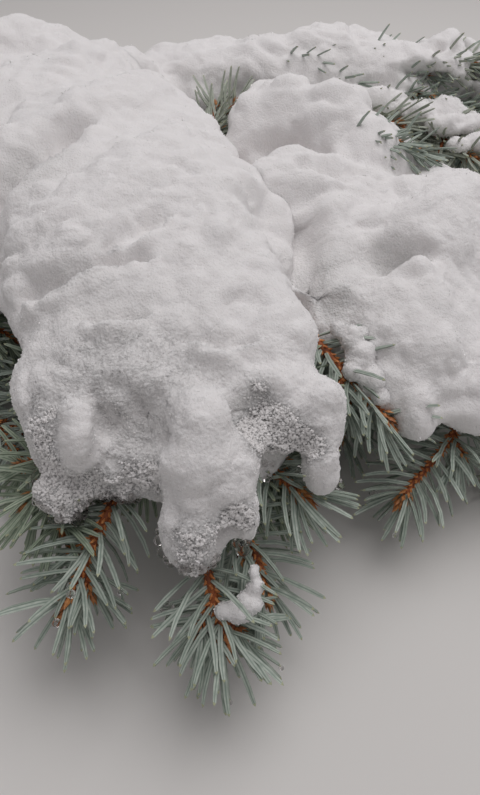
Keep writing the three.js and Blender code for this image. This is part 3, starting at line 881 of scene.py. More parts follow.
def wrap_limb(name):
    shoot = limbs[name]
    rings = int(shoot.length / LIMB_RING_STEP)
    shape = bmesh.new()
    bmesh.ops.create_grid(shape, x_segments=rings, y_segments=LIMB_SIDES, size=1.0)
    flat = np.array([vertex.co for vertex in shape.verts])
    share = 0.5 + 0.5 * flat[:, 0]
    angle = math.pi * (1 + flat[:, 1])
    per_mm = 0.8 if name == "stem" else 1.0
    points = on_bark(shoot, share, angle, LIMB_PEG, per_mm, LIMB_SWELL if name != "stem" else 0.0)
    rough = np.array([noise.noise(Vector(point) / BARK_LUMP_WAVE) for point in points])
    points += shoot.round(share, angle) * (BARK_LUMP * rough)[:, None]
    points[:, 2] = np.maximum(points[:, 2], 0.2)
    for vertex, point in zip(shape.verts, points):
        vertex.co = placed(point)
    bmesh.ops.remove_doubles(shape, verts=shape.verts, dist=0.02 * MM)
    open_edges = [edge for edge in shape.edges if edge.is_boundary]
    caps = bmesh.ops.holes_fill(shape, edges=open_edges, sides=LIMB_SIDES * 2)["faces"]
    for face in shape.faces:
        face.smooth = True
    if name == "stem":
        cut = min(caps, key=lambda face: -face.calc_center_median().y)
        cut.smooth = False
        cut.material_index = 1
    bmesh.ops.recalc_face_normals(shape, faces=shape.faces)
    mesh = bpy.data.meshes.new(name)
    shape.to_mesh(mesh)
    shape.free()
    mesh.materials.append(old_bark if name == "stem" else young_bark)
    if name == "stem":
        mesh.materials.append(cut_wood)
    piece = add_object("bark_" + name, mesh)
    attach(piece, "root")
    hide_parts(name)
    print(piece.name, rings, "rings,", len(caps), "caps")


for name in LIMBS:
    wrap_limb(name)

# %% [markdown]
# ## Twigs
# A mass of needles is one twig that carries on from its limb, with side twigs to the left and right of it in
# turn. The sizes and the seeded draws are the same as in the CAD, so each twig grows where its solid was.
# Then comes what the CAD leaves out: finer twigs between the side twigs, and short sprays all along the
# limbs, under the snow, where a real bough is just as dense as at its tips. A few twigs more lie just under
# the snow, so that their needles come through it.

# %% The masses of the CAD, in millimetres
# Limb, where on it, points on the way to the tip, number of side twigs, their reach.
FOLIAGE = {
    "needles_tip": ("stem", 1, [(-5, 84, 37)], 2, 9),
    "needles_tip_low": ("stem", 0.93, [(4, 116, 43), (9, 103, 35)], 1, 9),
    "needles_tip_right": ("stem", 0.86, [(3, 145, 62), (22, 129, 56)], 2, 11),
    "needles_left_front": ("bough_left_front", 1, [(-60, 97, 38)], 2, 9),
    "needles_left_inner": ("bough_left", 0.62, [(-124, 204, 30), (-98, 172, 11)], 2, 24),
    "needles_left_tip": ("bough_left", 1, [(-168, 152, 18)], 2, 26),
    "needles_left_outer": ("bough_left", 0.5, [(-186, 262, 44), (-200, 226, 22)], 2, 24),
    "needles_left_back": ("bough_left_back", 1, [(-226, 322, 16)], 3, 28),
    "needles_left_gap": ("stem", 0.36, [(-138, 372, 54), (-170, 346, 30)], 2, 24),
    "needles_right_front": ("bough_right_front", 1, [(57, 162, 62)], 2, 10),
    "needles_right_inner": ("bough_right", 0.78, [(97, 182, 45), (69, 148, 29)], 2, 13),
    "needles_right_low": ("bough_right", 0.6, [(66, 236, 44), (48, 190, 18)], 2, 24),
    "needles_right_tip": ("bough_right", 1, [(148, 160, 14)], 3, 26),
    "needles_right_outer": ("bough_right", 0.74, [(148, 240, 44), (172, 212, 20)], 2, 24),
    "needles_valley": ("bough_right", 0.2, [(-22, 384, 88), (-2, 396, 100)], 2, 18),
    "needles_back_front": ("bough_right_back", 0.66, [(118, 410, 82), (142, 366, 80)], 3, 26),
    "needles_back_inner": ("bough_right_back", 0.53, [(74, 424, 84), (98, 384, 92)], 3, 22),
    "needles_back_tip": ("bough_right_back", 1, [(222, 368, 17)], 3, 28),
    "needles_back_outer": ("bough_right_back", 0.78, [(184, 470, 40), (206, 490, 20)], 2, 24),
    "needles_back_rear": ("bough_right_back", 0.48, [(70, 498, 46), (98, 520, 18)], 2, 24),
    "needles_back_left": ("bough_right_back", 0.26, [(-26, 496, 42), (-8, 524, 16)], 2, 24),
}
# Radius of the main twig at its foot and tip, the angle of side twigs, and their radius at foot and tip.
TWIG_FOOT = 1.8
TWIG_TIP = 1.15
TWIG_ANGLE = 48.0
SIDE_TWIG = (1.3, 0.85)
print(len(FOLIAGE), "masses of needles")

# %% The source's rule for twigs
def turned_flat(direction, degrees):
    """A direction turned about the vertical."""
    a = math.radians(degrees)
    x, y, z = direction
    return np.array([x * math.cos(a) - y * math.sin(a), x * math.sin(a) + y * math.cos(a), z])


def side_twig(main, share, turn, length):
    direction = turned_flat(main.along(share), turn)
    root = main.at(share)
    tip = root + direction * length - [0, 0, 0.12 * length]
    return Shoot([root, root + direction * length / 2, tip], SIDE_TWIG, 16)


def grow_twigs(limb, at, through, sides, reach, draw):
    """The main twig of a mass and its side twigs, each with the share of it that is bare."""
    start = limbs[limb].at(at)
    if at == 1:
        start = start + limbs[limb].along(1.0) * 0.3
    main = Shoot([start, *through], (TWIG_FOOT, TWIG_TIP), 30)
    twigs = [(main, 0.02 if at == 1 else 0.12)]
    for i in range(sides):
        share = 0.3 + 0.55 * (i + 0.5) / sides
        turn = (1 if i % 2 else -1) * (TWIG_ANGLE + 12 * (next(draw) - 0.5))
        length = reach * (1.15 - 0.45 * share) * (0.85 + 0.3 * next(draw))
        twigs.append((side_twig(main, share, turn, length), 0.12))
    return twigs


def add_finer(twigs, reach, draw):
    """Short twigs between the side twigs, on the other side of the main one."""
    main = twigs[0][0]
    for i in range(len(twigs) - 1):
        share = 0.22 + 0.6 * (i + 0.35) / (len(twigs) - 1)
        turn = (-1 if i % 2 else 1) * (TWIG_ANGLE - 6 + 16 * next(draw))
        twigs.append((side_twig(main, share, turn, reach * (0.45 + 0.25 * next(draw))), 0.2))
    return twigs


# %% Sprays along the limbs, under the snow
SPRAY_STEP = 25.0
SPRAY_LENGTH = 50.0
SPRAY_DROOP = 0.28
LONG_REACH = 15.0
FLOOR_GAP = 9.0


def sprays_along(limb, draw):
    """Masses by the same rule, left and right of a limb in turn, and sinking towards their tips."""
    shoot = limbs[limb]
    found = []
    count = int(shoot.length * 0.82 / SPRAY_STEP)
    for i in range(count):
        at = 0.12 + 0.8 * (i + next(draw) * 0.5) / count
        turn = (1 if i % 2 else -1) * (44 + 14 * next(draw))
        direction = turned_flat(shoot.along(at), turn)
        direction[2] = -SPRAY_DROOP * (0.5 + next(draw))
        length = SPRAY_LENGTH * (1.05 - 0.35 * at) * (0.8 + 0.4 * next(draw))
        root = shoot.at(at)
        middle = root + direction * length * 0.5 + [0, 0, 2.0]
        tip = root + direction * length
        middle[2] = max(middle[2], FLOOR_GAP)
        tip[2] = max(tip[2], FLOOR_GAP)
        found.append(grow_twigs(limb, at, [middle, tip], 2, 22, draw))
    return found


sprays = []
for number, (name, spec) in enumerate(FOLIAGE.items()):
    draw = seeded(1000 + 77 * number)
    twigs = grow_twigs(*spec, draw)
    if spec[4] > LONG_REACH:
        twigs = add_finer(twigs, spec[4], seeded(7000 + number))
    sprays.append(twigs)
for number, name in enumerate(LIMBS):
    sprays.extend(sprays_along(name, seeded(300 + 11 * number)))
print(len(sprays) - len(FOLIAGE), "sprays under the snow")

# %% Twigs just under the snow, whose needles come through it
# A place on the snow, in millimetres, and how deep under it the twig is.
PEEPING = [
    (39, 438, 123, 9), (100, 458, 120, 12), (92, 455, 121, 12), (69, 435, 116, 14), (147, 439, 120, 8),
    (166, 436, 116, 8), (78, 332, 113, 10), (92, 338, 104, 8), (68, 331, 115, 12), (39, 293, 106, 17),
    (51, 296, 104, 17), (61, 298, 101, 17), (66, 236, 84, 13), (74, 230, 88, 12), (118, 436, 116, 11),
    (108, 423, 108, 11), (118, 421, 110, 12), (128, 419, 106, 12), (139, 418, 102, 12), (150, 418, 97, 12),
    (159, 422, 98, 10), (130, 436, 121, 9), (140, 436, 121, 9), (156, 444, 118, 8), (102, 428, 103, 11),
]
PEEPING_HALF = np.array([8.0, -3.0, 0.0])
for x, y, z, deep in PEEPING:
    middle = np.array([x, y, z - deep])
    through = [middle - PEEPING_HALF, middle + [0, 0, 1], middle + PEEPING_HALF - [0, 0, 1]]
    sprays.append([(Shoot(through, SIDE_TWIG, 8), 0.0)])
print(len(sprays), "sprays,", sum(len(spray) for spray in sprays), "twigs")

# %% [markdown]
# ## Joined meshes from arrays
# Hundreds of twigs and thousands of needles would be slow and heavy as objects of their own, so each kind is
# one mesh that is filled from arrays. A tube's faces are always the same pattern: only the point numbers step
# on from one tube to the next.

# %% One mesh out of many small shapes
class Heap:
    """Gathers points, faces, face colours and a flat pattern place for each face corner."""

    def __init__(self):
        self.points = []
        self.faces = []
        self.slots = []
        self.flat = []
        self.count = 0

    def add(self, points, faces, slots, flat=None):
        self.points.append(points)
        self.faces.extend([[corner + self.count for corner in face] for face in faces])
        self.slots.extend(slots)
        if flat is not None:
            self.flat.extend(flat)
        self.count += len(points)

    def piece(self, name, materials, slot, replaced, smooth):
        mesh = bpy.data.meshes.new(name)
        points = np.concatenate(self.points)
        points[:, 2] = np.maximum(points[:, 2], 0.25)
        mesh.from_pydata(placed(points).tolist(), [], self.faces)
        for material in materials:
            mesh.materials.append(material)
        mesh.polygons.foreach_set("material_index", np.array(self.slots, np.int32))
        mesh.polygons.foreach_set("use_smooth", np.full(len(self.faces), smooth))
        if self.flat:
            layer = mesh.uv_layers.new(name="along")
            layer.data.foreach_set("uv", np.array(self.flat, np.float32).ravel())
        mesh.update()
        piece = add_object(name, mesh)
        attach(piece, "root")
        if replaced:
            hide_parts(*replaced)
        print(name, sum(len(face) - 2 for face in self.faces), "triangles")


# %% Twigs as tubes with pegs
TWIG_SIDES = 8
TWIG_RING_STEP = 1.8
TWIG_PEG = 0.45
PEGS_PER_MM = 0.9


def tube_faces(rings, sides):
    faces = []
    for ring in range(rings - 1):
        for side in range(sides):
            a = ring * sides + side
            b = ring * sides + (side + 1) % sides
            faces.append([a, b, b + sides, a + sides])
    faces.append(list(range(sides))[::-1])
    faces.append([(rings - 1) * sides + side for side in range(sides)])
    return faces


def tube_points(shoot):
    rings = max(4, int(shoot.length / TWIG_RING_STEP))
    share = np.repeat(np.linspace(0, 1, rings), TWIG_SIDES)
    angle = np.tile(np.arange(TWIG_SIDES) * 2 * math.pi / TWIG_SIDES, rings)
    return on_bark(shoot, share, angle, TWIG_PEG, PEGS_PER_MM), rings


twig_heap = Heap()
for spray in sprays:
    for shoot, bare in spray:
        points, rings = tube_points(shoot)
        faces = tube_faces(rings, TWIG_SIDES)
        twig_heap.add(points, faces, [0] * len(faces))
twig_heap.piece("twigs", [young_bark], "bark", list(FOLIAGE), True)

# %% [markdown]
# ## Needles
# A spruce needle is four-sided, stiff, slightly curved and ends in a short point. Every side carries fine
# rows of pores with pale wax, which gives the needle its blue-grey bloom, and its very tip is yellowish. Here
# one needle has 38 triangles, and its broadest side looks up. A stripe pattern runs along each side by the
# mesh's own flat map, and the last bit of the tip has a finish of its own. Young shoots vary, so four tints
# are dealt out by spray.

# %% Needle finishes
# Where the rows of pores lie across a side, whose middle is 0 and edge 0.5, and how soft their borders are.
ROW_PLACE = 0.29
ROW_OUTER = 0.26
ROW_INNER = 0.08
WAX_PATCH = 2.5 * MM
TIP_PATCH = 1.5 * MM


def needle_finish(name, green, bloom):
    """Living, waxy needle: green, two pale rows of pores along each side with a rib between, satin sheen."""
    material, shader = new_material(name)
    flat_map = add_node(material, "ShaderNodeUVMap", uv_map="along")
    flat = add_node(material, "ShaderNodeSeparateXYZ", {"Vector": flat_map.outputs["UV"]})
    off = worked_out(material, "ABSOLUTE", worked_out(material, "SUBTRACT", flat.outputs["X"], 0.5))
    off_row = worked_out(material, "ABSOLUTE", worked_out(material, "SUBTRACT", off, ROW_PLACE))
    stripe = add_node(
        material,
        "ShaderNodeMapRange",
        {"Value": off_row, "From Min": ROW_OUTER, "From Max": ROW_INNER},
        interpolation_type="SMOOTHSTEP",
    )
    cloud = noise_pattern(material, WAX_PATCH)
    wax = worked_out(material, "MULTIPLY", stripe.outputs["Result"], cloud)
    tone = two_tones(material, wax, green, bloom)
    set_shader(material, shader, Base_Color=tone, Roughness=0.45, IOR=1.45)
    return material


needle_tints = [
    needle_finish("waxy_needle_blue", "#7a897e", "#cdd4c9"),
    needle_finish("waxy_needle_grey", "#858f82", "#d0d3c4"),
    needle_finish("waxy_needle_green", "#6f806d", "#c1c9b4"),
    needle_finish("waxy_needle_deep", "#67786e", "#bac5b8"),
]
print(len(needle_tints), "tints of needle")

# %% Needle tips
# The last millimetre of a needle is dry and horny: yellowish, and duller than the wax.
needle_tip, tip_shader = new_material("dry_needle_tip")
tip_cloud = noise_pattern(needle_tip, TIP_PATCH)
tip_tone = two_tones(needle_tip, tip_cloud, "#8c9374", "#b4b698")
set_shader(needle_tip, tip_shader, Base_Color=tip_tone, Roughness=0.5)
print(needle_tip.name, "has", len(needle_tip.node_tree.nodes), "nodes")

# %% Where needles stand
NEEDLE_LENGTH = 24.0
NEEDLE_WIDTH = 1.75
NEEDLE_HEIGHT = 1.1
# Twigs near the eye carry a few more, and each twig ends in a crown of needles that close in round its bud.
NEEDLES_PER_MM = 1.0
NEAR_EYE = 300.0
MORE_NEAR_EYE = 1.25
CROWN = 11
CLOSING_LENGTH = 8.0
CLOSING = 0.85
# How far needles lean out, in degrees, and how far the ones on top part to both sides.
NEEDLE_LEAN = 70.0
LEAN_SPREAD = 14.0
PARTED = 40.0
NOT_PARTED = 0.12
# A side twig is thinner than this at its foot, and its needles are shorter.
THIN_FOOT = 1.6
THIN_LENGTH = 0.86
eye = np.array([0, 0, EYE_HEIGHT])


def needles_on(shoot, bare, draw):
    """Roots, directions, bends towards the tip, and lengths of a twig's needles."""
    near = np.linalg.norm(shoot.at(1.0) - eye) < NEAR_EYE
    count = max(8, round(shoot.length * (1 - bare) * NEEDLES_PER_MM * (MORE_NEAR_EYE if near else 1.0)))
    number = np.arange(count + CROWN + 1)
    chance = np.array([[next(draw) for i in range(5)] for j in number])
    share = bare + (0.99 - bare) * np.minimum(number / count, 1)
    closing = np.clip(1 - (1 - share) * shoot.length / CLOSING_LENGTH, 0, 1)
    closing = CLOSING * closing * chance[:, 4]
    lean = np.radians(NEEDLE_LEAN * (1 - closing) + LEAN_SPREAD * (chance[:, 0] - 0.5))
    turn = GOLDEN_ANGLE * number + 0.35 * chance[:, 1]
    from_top = (turn - math.pi / 2 + math.pi) % (2 * math.pi) - math.pi
    parted = np.sign(from_top) * (np.abs(from_top) * (1 - PARTED / 90) + math.radians(PARTED))
    part = (np.abs(from_top) < math.pi / 2) & (chance[:, 4] > NOT_PARTED)
    turn = np.where(part, parted, from_top) + math.pi / 2
    along = shoot.along(share)
    out = shoot.round(share, turn)
    direction = along * np.cos(lean)[:, None] + out * np.sin(lean)[:, None]
    root = shoot.at(share) + out * (shoot.radius(share) * 0.75)[:, None]
    bend = along - direction * np.sum(along * direction, 1)[:, None]
    bend = bend * (0.1 + 0.26 * chance[:, 2])[:, None] + [0, 0, 0.05]
    length = NEEDLE_LENGTH * (0.8 + 0.24 * chance[:, 3])
    length = length * (THIN_LENGTH if shoot.radii[0] < THIN_FOOT else 1.0)
    return root, direction, bend, length


# %% One needle's shape, for all needles at once
RING_PLACE = np.array([0.0, 0.07, 0.4, 0.74, 0.955])
RING_WIDTH_SHARE = np.array([0.55, 0.9, 1.0, 1.0, 0.72])
RINGS = len(RING_PLACE)
TWIST = 0.5


def needle_pattern():
    """Faces, finishes and flat map of a needle: five rings of four sides, a point and a closed foot."""
    faces, slots, flat = [], [], []
    for ring in range(RINGS - 1):
        low, high = RING_PLACE[ring], RING_PLACE[ring + 1]
        for side in range(4):
            a = ring * 4 + side
            b = ring * 4 + (side + 1) % 4
            faces.append([a, b, b + 4, a + 4])
            slots.append(0)
            flat += [(0, low), (1, low), (1, high), (0, high)]
    last = (RINGS - 1) * 4
    for side in range(4):
        faces.append([last + side, last + (side + 1) % 4, RINGS * 4])
        slots.append(1)
        flat += [(0, 0.92), (1, 0.92), (0.5, 1.0)]
    faces.append([3, 2, 1, 0])
    slots.append(0)
    flat += [(0.5, 0.0)] * 4
    return faces, slots, flat


PATTERN = needle_pattern()
print("a needle has", sum(len(face) - 2 for face in PATTERN[0]), "triangles")


def needle_points(root, direction, bend, length):
    """The corners of all needles of a twig. Each turns its broad side to the sky, give or take a twist."""
    number = np.arange(len(root))
    side = np.cross(direction, [0, 0, 1]) + direction[:, [1, 2, 0]] * 0.02
    side /= np.linalg.norm(side, axis=1)[:, None]
    upward = np.cross(side, direction)
    twist = TWIST * np.sin(number * 7.3)[:, None]
    level, steep = side, upward
    side = level * np.cos(twist) + steep * np.sin(twist)
    upward = steep * np.cos(twist) - level * np.sin(twist)
    rows = []
    for place, width in zip(RING_PLACE, RING_WIDTH_SHARE):
        middle = root + (direction * place + bend * place**2) * length[:, None]
        half_wide = side * NEEDLE_WIDTH / 2 * width
        half_high = upward * NEEDLE_HEIGHT / 2 * width
        rows += [
            middle + half_wide + half_high * 0.7,
            middle - half_wide + half_high * 0.7,
            middle - half_wide * 0.45 - half_high,
            middle + half_wide * 0.45 - half_high,
        ]
    rows.append(root + (direction + bend) * length[:, None])
    return np.stack(rows, axis=1)


# %% [markdown]
# ## Woody pegs
# Each needle of a spruce sits on a peg of bark that leans forward, and where a needle has dropped its peg is
# left: that is why a spruce twig feels like a rasp. Near the eye they are plain to see, as small bright
# points on the darker twig. A peg is a wedge with five faces.

# %% Pegs as small wedges
PEG_RISE = 1.6
PEG_HALF = 0.65
PEG_FACES = [[0, 1, 5, 4], [1, 2, 5], [2, 3, 4, 5], [3, 0, 4], [3, 2, 1, 0]]
WEDGES_PER_MM = 1.7


def pegs_on(shoot, bare):
    """The corners of all pegs of a twig: a diamond on the bark, and an edge where the needle breaks off."""
    share = np.linspace(bare * 0.5, 0.99, max(4, round(shoot.length * WEDGES_PER_MM)))
    turn = np.arange(len(share)) * GOLDEN_ANGLE + 0.3
    along = shoot.along(share)
    out = shoot.round(share, turn)
    side = np.cross(along, out)
    base = shoot.at(share) + out * (shoot.radius(share) * 0.8)[:, None]
    top = base + out * PEG_RISE + along * PEG_RISE * 0.9
    corners = [
        base - along * PEG_HALF * 1.6,
        base + side * PEG_HALF,
        base + along * PEG_HALF * 1.6,
        base - side * PEG_HALF,
        top - side * PEG_HALF * 0.5 - along * 0.2,
        top + side * PEG_HALF * 0.5 + out * 0.1,
    ]
    return np.stack(corners, axis=1)


# %% [markdown]
# ## Which needles are kept
# Needles that lie wholly inside the snow can't be seen from anywhere, so they are left out. The nearest point
# of the snow's skin, and the way that skin faces there, tell how deep a needle's tip is.

# %% Depth in the snow
from mathutils.bvhtree import BVHTree

snow_skins = [
    BVHTree.FromPolygons(
        [vertex.co for vertex in piece.data.vertices], [face.vertices[:] for face in piece.data.polygons]
    )
    for piece in snow_pieces
]


def depth_in_snow(point):
    """How far a placed point is inside the snow, in millimetres: negative outside."""
    deepest = -1e3
    for skin_tree in snow_skins:
        spot, normal, number, distance = skin_tree.find_nearest(point)
        inside = (Vector(point) - spot).dot(normal) < 0
        deepest = max(deepest, distance / MM if inside else -distance / MM)
    return deepest


HIDDEN_DEPTH = 2.5
print("the tip of the stem is", round(depth_in_snow(placed(limbs["stem"].at(1.0))), 1), "mm deep in snow")

# %% Grow the needles
needle_groups = [Heap() for tint in needle_tints]
faces, slots, flat = PATTERN
needle_ends = []
for number, spray in enumerate(sprays):
    draw = seeded(90000 + 31 * number)
    group = needle_groups[int(next(draw) * len(needle_tints))]
    for shoot, bare in spray:
        points = needle_points(*needles_on(shoot, bare, draw))
        for needle in points:
            tip = placed(needle[-1])
            root = placed(needle[:4].mean(axis=0))
            if depth_in_snow(tip) > HIDDEN_DEPTH and depth_in_snow(root) > HIDDEN_DEPTH:
                continue
            group.add(needle, faces, slots, flat)
            needle_ends += [needle[-1], needle[12:16].mean(axis=0)]
for group, tint in zip(needle_groups, needle_tints):
    group.piece("needles_" + tint.name.split("_")[-1], [tint, needle_tip], "needles", list(FOLIAGE), False)
print(len(needle_ends) // 2, "needles")

# %% Pegs on the twigs that the eye is near to and the snow doesn't hide
PEGS_WITHIN = 330.0
# A peg's broken end is bright cork on red-brown bark, dull like both.
peg_bark = bark_finish("woody_needle_peg", "#a8561f", "#e6a064", 0.6)
peg_heap = Heap()
for spray in sprays:
    for shoot, bare in spray:
        if np.linalg.norm(shoot.at(1.0) - eye) > PEGS_WITHIN:
            continue
        for peg in pegs_on(shoot, bare):
            if depth_in_snow(placed(peg[4])) < 0.5:
                peg_heap.add(peg, PEG_FACES, [0] * len(PEG_FACES))
peg_heap.piece("needle_pegs", [peg_bark], "bark", [], False)

# %% [markdown]
# ## Buds
# Each shoot ends in a bud wrapped in papery, red-brown scales that overlap like roof tiles, and the outer
# ones curl away. A scale is a small flat diamond with a ridge on its outer side, and a bud is four rows of
# them round the tip of the shoot.

# %% Bud scales
# Dry bud scales are thin as paper: they catch the light on their edges and have a soft, resinous sheen.
bud_paper = bark_finish("papery_bud_scale", "#8f4c22", "#dd9c60", 0.5)
SCALE_FACES = [[0, 1, 4], [1, 3, 4], [3, 2, 4], [2, 0, 4], [1, 0, 5], [3, 1, 5], [2, 3, 5], [0, 2, 5]]
# A row of scales: how far past the tip it starts, its radius, how many scales, and how far they flare in
# degrees.
BUD_ROWS = [(-2.0, 1.8, 7, 36), (0.2, 1.6, 6, 22), (2.2, 1.1, 5, 10), (4.0, 0.5, 3, 2)]
SCALE_LENGTH = 4.8
SCALE_WIDTH = 2.1
BUD_DEPTH = 3.0


def bud(heap, shoot, draw):
    size = shoot.radii[1] / TWIG_TIP
    tip = shoot.at(1.0)
    forward = shoot.along(1.0)
    for step, radius, count, flare in BUD_ROWS:
        for i in range(count):
            turn = 2 * math.pi * (i + 0.5 * next(draw)) / count + step
            out = shoot.round(1.0, np.float64(turn))
            tilt = math.radians(flare + 14 * (next(draw) - 0.3))
            lengthwise = forward * math.cos(tilt) + out * math.sin(tilt)
            side = np.cross(forward, out)
            root = tip + (forward * step + out * radius) * size
            long = SCALE_LENGTH * size * (0.85 + 0.3 * next(draw))
            wide = SCALE_WIDTH * size / 2
            middle = root + lengthwise * long * 0.45
            ridge = out * math.cos(tilt) - forward * math.sin(tilt)
            points = [
                root,
                middle - side * wide,
                middle + side * wide,
                root + lengthwise * long,
                middle + ridge * 0.45 * size,
                middle - ridge * 0.2 * size,
            ]
            heap.add(np.array(points), SCALE_FACES, [0] * len(SCALE_FACES))


bud_heap = Heap()
for number, spray in enumerate(sprays):
    draw = seeded(4000 + number)
    for shoot, bare in spray:
        if depth_in_snow(placed(shoot.at(1.0))) < BUD_DEPTH:
            bud(bud_heap, shoot, draw)
bud_heap.piece("bud_scales", [bud_paper], "bark", [], False)

# %% [markdown]
# ## Loose grains
# Against the light, the edge of snow isn't a line: single grains stand out of it, and they are what tells the
# eye that this is snow and not plaster. Each grain here is a tetrahedron half sunk in the skin. The places
# are drawn only from faces that the eye sees edge on, because there grains show and elsewhere they would look
# like dust, and a face that looks twice as large gets twice as many.
# Where the snow is soaked the grains have grown together to coarse, glassy ice: there the grains are larger,
# eight-sided and clear.

# %% Places on a skin
def places_on(piece, count, draw, weight):
    """Points and outward directions on a piece, in the part's frame: more where a face weighs more."""
    mesh = piece.data
    faces = len(mesh.polygons)
    centre = np.empty(faces * 3)
    outward = np.empty(faces * 3)
    area = np.empty(faces)
    mesh.polygons.foreach_get("center", centre)
    mesh.polygons.foreach_get("normal", outward)
    mesh.polygons.foreach_get("area", area)
    centre = centre.reshape(-1, 3)
    outward = outward.reshape(-1, 3)
    chance = area * weight(centre / MM + CENTRE, outward)
    picked = draw.choice(faces, count, p=chance / chance.sum())
    jitter = draw.normal(size=(count, 3)) * np.sqrt(area[picked])[:, None] * 0.4
    jitter -= outward[picked] * np.sum(jitter * outward[picked], axis=1)[:, None]
    return centre[picked] + jitter, outward[picked]


def seen_from_eye(points, outward):
    """How large a patch looks: 1 over its distance squared, and nothing where it faces away."""
    sight = eye - points
    distance = np.linalg.norm(sight, axis=1)
    facing = np.sum(sight * outward, axis=1) / distance
    return (facing > -0.25) / distance**2


# Closer to the camera's foot than this, faces that are only seen at a slant get grains too.
SLANT_WITHIN = 185.0
SLANT = 0.25
ICE_FROM = 0.62


def on_the_edge(points, outward):
    """Only where the skin is seen edge on, which is where grains show."""
    sight = eye - points
    facing = np.sum(sight * outward, axis=1) / np.linalg.norm(sight, axis=1)
    return seen_from_eye(points, outward) * (facing < np.where(points[:, 1] < SLANT_WITHIN, SLANT, 0.0))


def soaked_at(points, outward):
    """Only where the snow is so wet that it has turned to ice, and more the wetter it is."""
    return seen_from_eye(points, outward) * np.maximum(wet_and_shade_level(points) - ICE_FROM, 0)


# %% Many small shapes, each turned at random
TETRAHEDRON = np.array([[1, 1, 1], [1, -1, -1], [-1, 1, -1], [-1, -1, 1]]) / math.sqrt(3)
TETRAHEDRON_FACES = np.array([[0, 1, 2], [0, 3, 1], [0, 2, 3], [1, 3, 2]])
OCTAHEDRON = np.array([[1, 0, 0], [-1, 0, 0], [0, 1, 0], [0, -1, 0], [0, 0, 1], [0, 0, -1]], float)
OCTAHEDRON_FACES = np.array(
    [[0, 2, 4], [2, 1, 4], [1, 3, 4], [3, 0, 4], [2, 0, 5], [1, 2, 5], [3, 1, 5], [0, 3, 5]]
)


def turned_at_random(corners, count, draw):
    """The same few corners, turned each time another way, by random unit quaternions."""
    q = draw.normal(size=(count, 4))
    w, x, y, z = (q / np.linalg.norm(q, axis=1)[:, None]).T
    turn = np.array([
        [1 - 2 * (y * y + z * z), 2 * (x * y - z * w), 2 * (x * z + y * w)],
        [2 * (x * y + z * w), 1 - 2 * (x * x + z * z), 2 * (y * z - x * w)],
        [2 * (x * z - y * w), 2 * (y * z + x * w), 1 - 2 * (x * x + y * y)],
    ])
    return np.einsum("ijn,kj->nki", turn, corners)


def scatter(name, corners, faces, middle, size, material, draw):
    """One mesh of many small shapes of different size, each turned at random."""
    shapes = turned_at_random(corners, len(middle), draw) * size[:, None, None] + middle[:, None, :]
    points = shapes.reshape(-1, 3)
    points[:, 2] = np.maximum(points[:, 2], 0.0003)
    numbers = faces[None] + len(corners) * np.arange(len(middle))[:, None, None]
    mesh = bpy.data.meshes.new(name)
    mesh.from_pydata(points.tolist(), [], numbers.reshape(-1, 3).tolist())
    mesh.materials.append(material)
    mesh.update()
    piece = add_object(name, mesh)
    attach(piece, "root")
    print(name, len(mesh.polygons), "triangles")


# %% The finish of a loose grain
# A single ice grain, rounded by thaw: white and dull, because it is seen through its own rough skin.
loose_grain, grain_shader = new_material("loose_snow_grain")
sparkle = noise_pattern(loose_grain, SNOW_GRAIN)
grain_tone = two_tones(loose_grain, sparkle, "#efedec", "#fbfafa")
set_shader(loose_grain, grain_shader, Base_Color=grain_tone, Roughness=0.6, IOR=1.31)
print(loose_grain.name, "has", len(loose_grain.node_tree.nodes), "nodes")

# %% Scatter the grains
# How many grains each skin gets, their radius in millimetres, and the distance from the eye at which they
# have just that: nearer ones are drawn finer and farther ones coarser, so that they still show.
GRAINS = {
    "snow_front": 6000,
    "snow_right": 2500,
    "snow_back": 2000,
    "snow_clump_back": 800,
    "snow_clump_tip": 400,
    "snow_clump_right": 400,
}
GRAIN_RADIUS = 0.4
GRAIN_DISTANCE = 230.0
draw = np.random.default_rng(17)
middles, sizes = [], []
for piece in snow_pieces:
    name = piece.name.removeprefix("blanket_")
    if name in GRAINS:
        middle, outward = places_on(piece, GRAINS[name], draw, on_the_edge)
        size = GRAIN_RADIUS * MM * np.exp(draw.normal(size=len(middle)) * 0.35)
        distance = np.linalg.norm(middle / MM + CENTRE - eye, axis=1)
        size *= np.clip(distance / GRAIN_DISTANCE, 0.8, 1.5)
        middles.append(middle - outward * (size * 0.1)[:, None])
        sizes.append(size)
scatter(
    "snow_grains",
    TETRAHEDRON,
    TETRAHEDRON_FACES,
    np.concatenate(middles),
    np.concatenate(sizes),
    loose_grain,
    draw,
)

# %% [markdown]
# ## Ice
# Meltwater has frozen again along the lower edge: coarse grains, round beads, short icicles, and drops that
# hang from needles. Clear ice lets light through and bends it, so it is a transmission of 1 with the IOR of
# ice and hardly any roughness. The coarse grains let only a little light through, because they are full of
# tiny bubbles.

# %% Ice finishes
ICE_IOR = 1.31
ICE_RIPPLE = 1.2 * MM


def ice_finish(name, clear, roughness):
    """Ice with a faint ripple, from milky to clear."""
    material, shader = new_material(name)
    bump = relief(material, noise_pattern(material, ICE_RIPPLE), 0.3, 0.2 * MM)
    set_shader(
        material,
        shader,
        Base_Color=colour("#f5f3f2"),
        Roughness=roughness,
        IOR=ICE_IOR,
        Transmission_Weight=clear,
        Normal=bump,
    )
    return material


# Refrozen grains, milky with bubbles: they glint. Clear ice, frozen slowly: it shows what is behind it.
grain_ice = ice_finish("coarse_grain_ice", 0.12, 0.3)
clear_ice = ice_finish("clear_ice", 1.0, 0.02)
print("ice:", grain_ice.name, clear_ice.name)

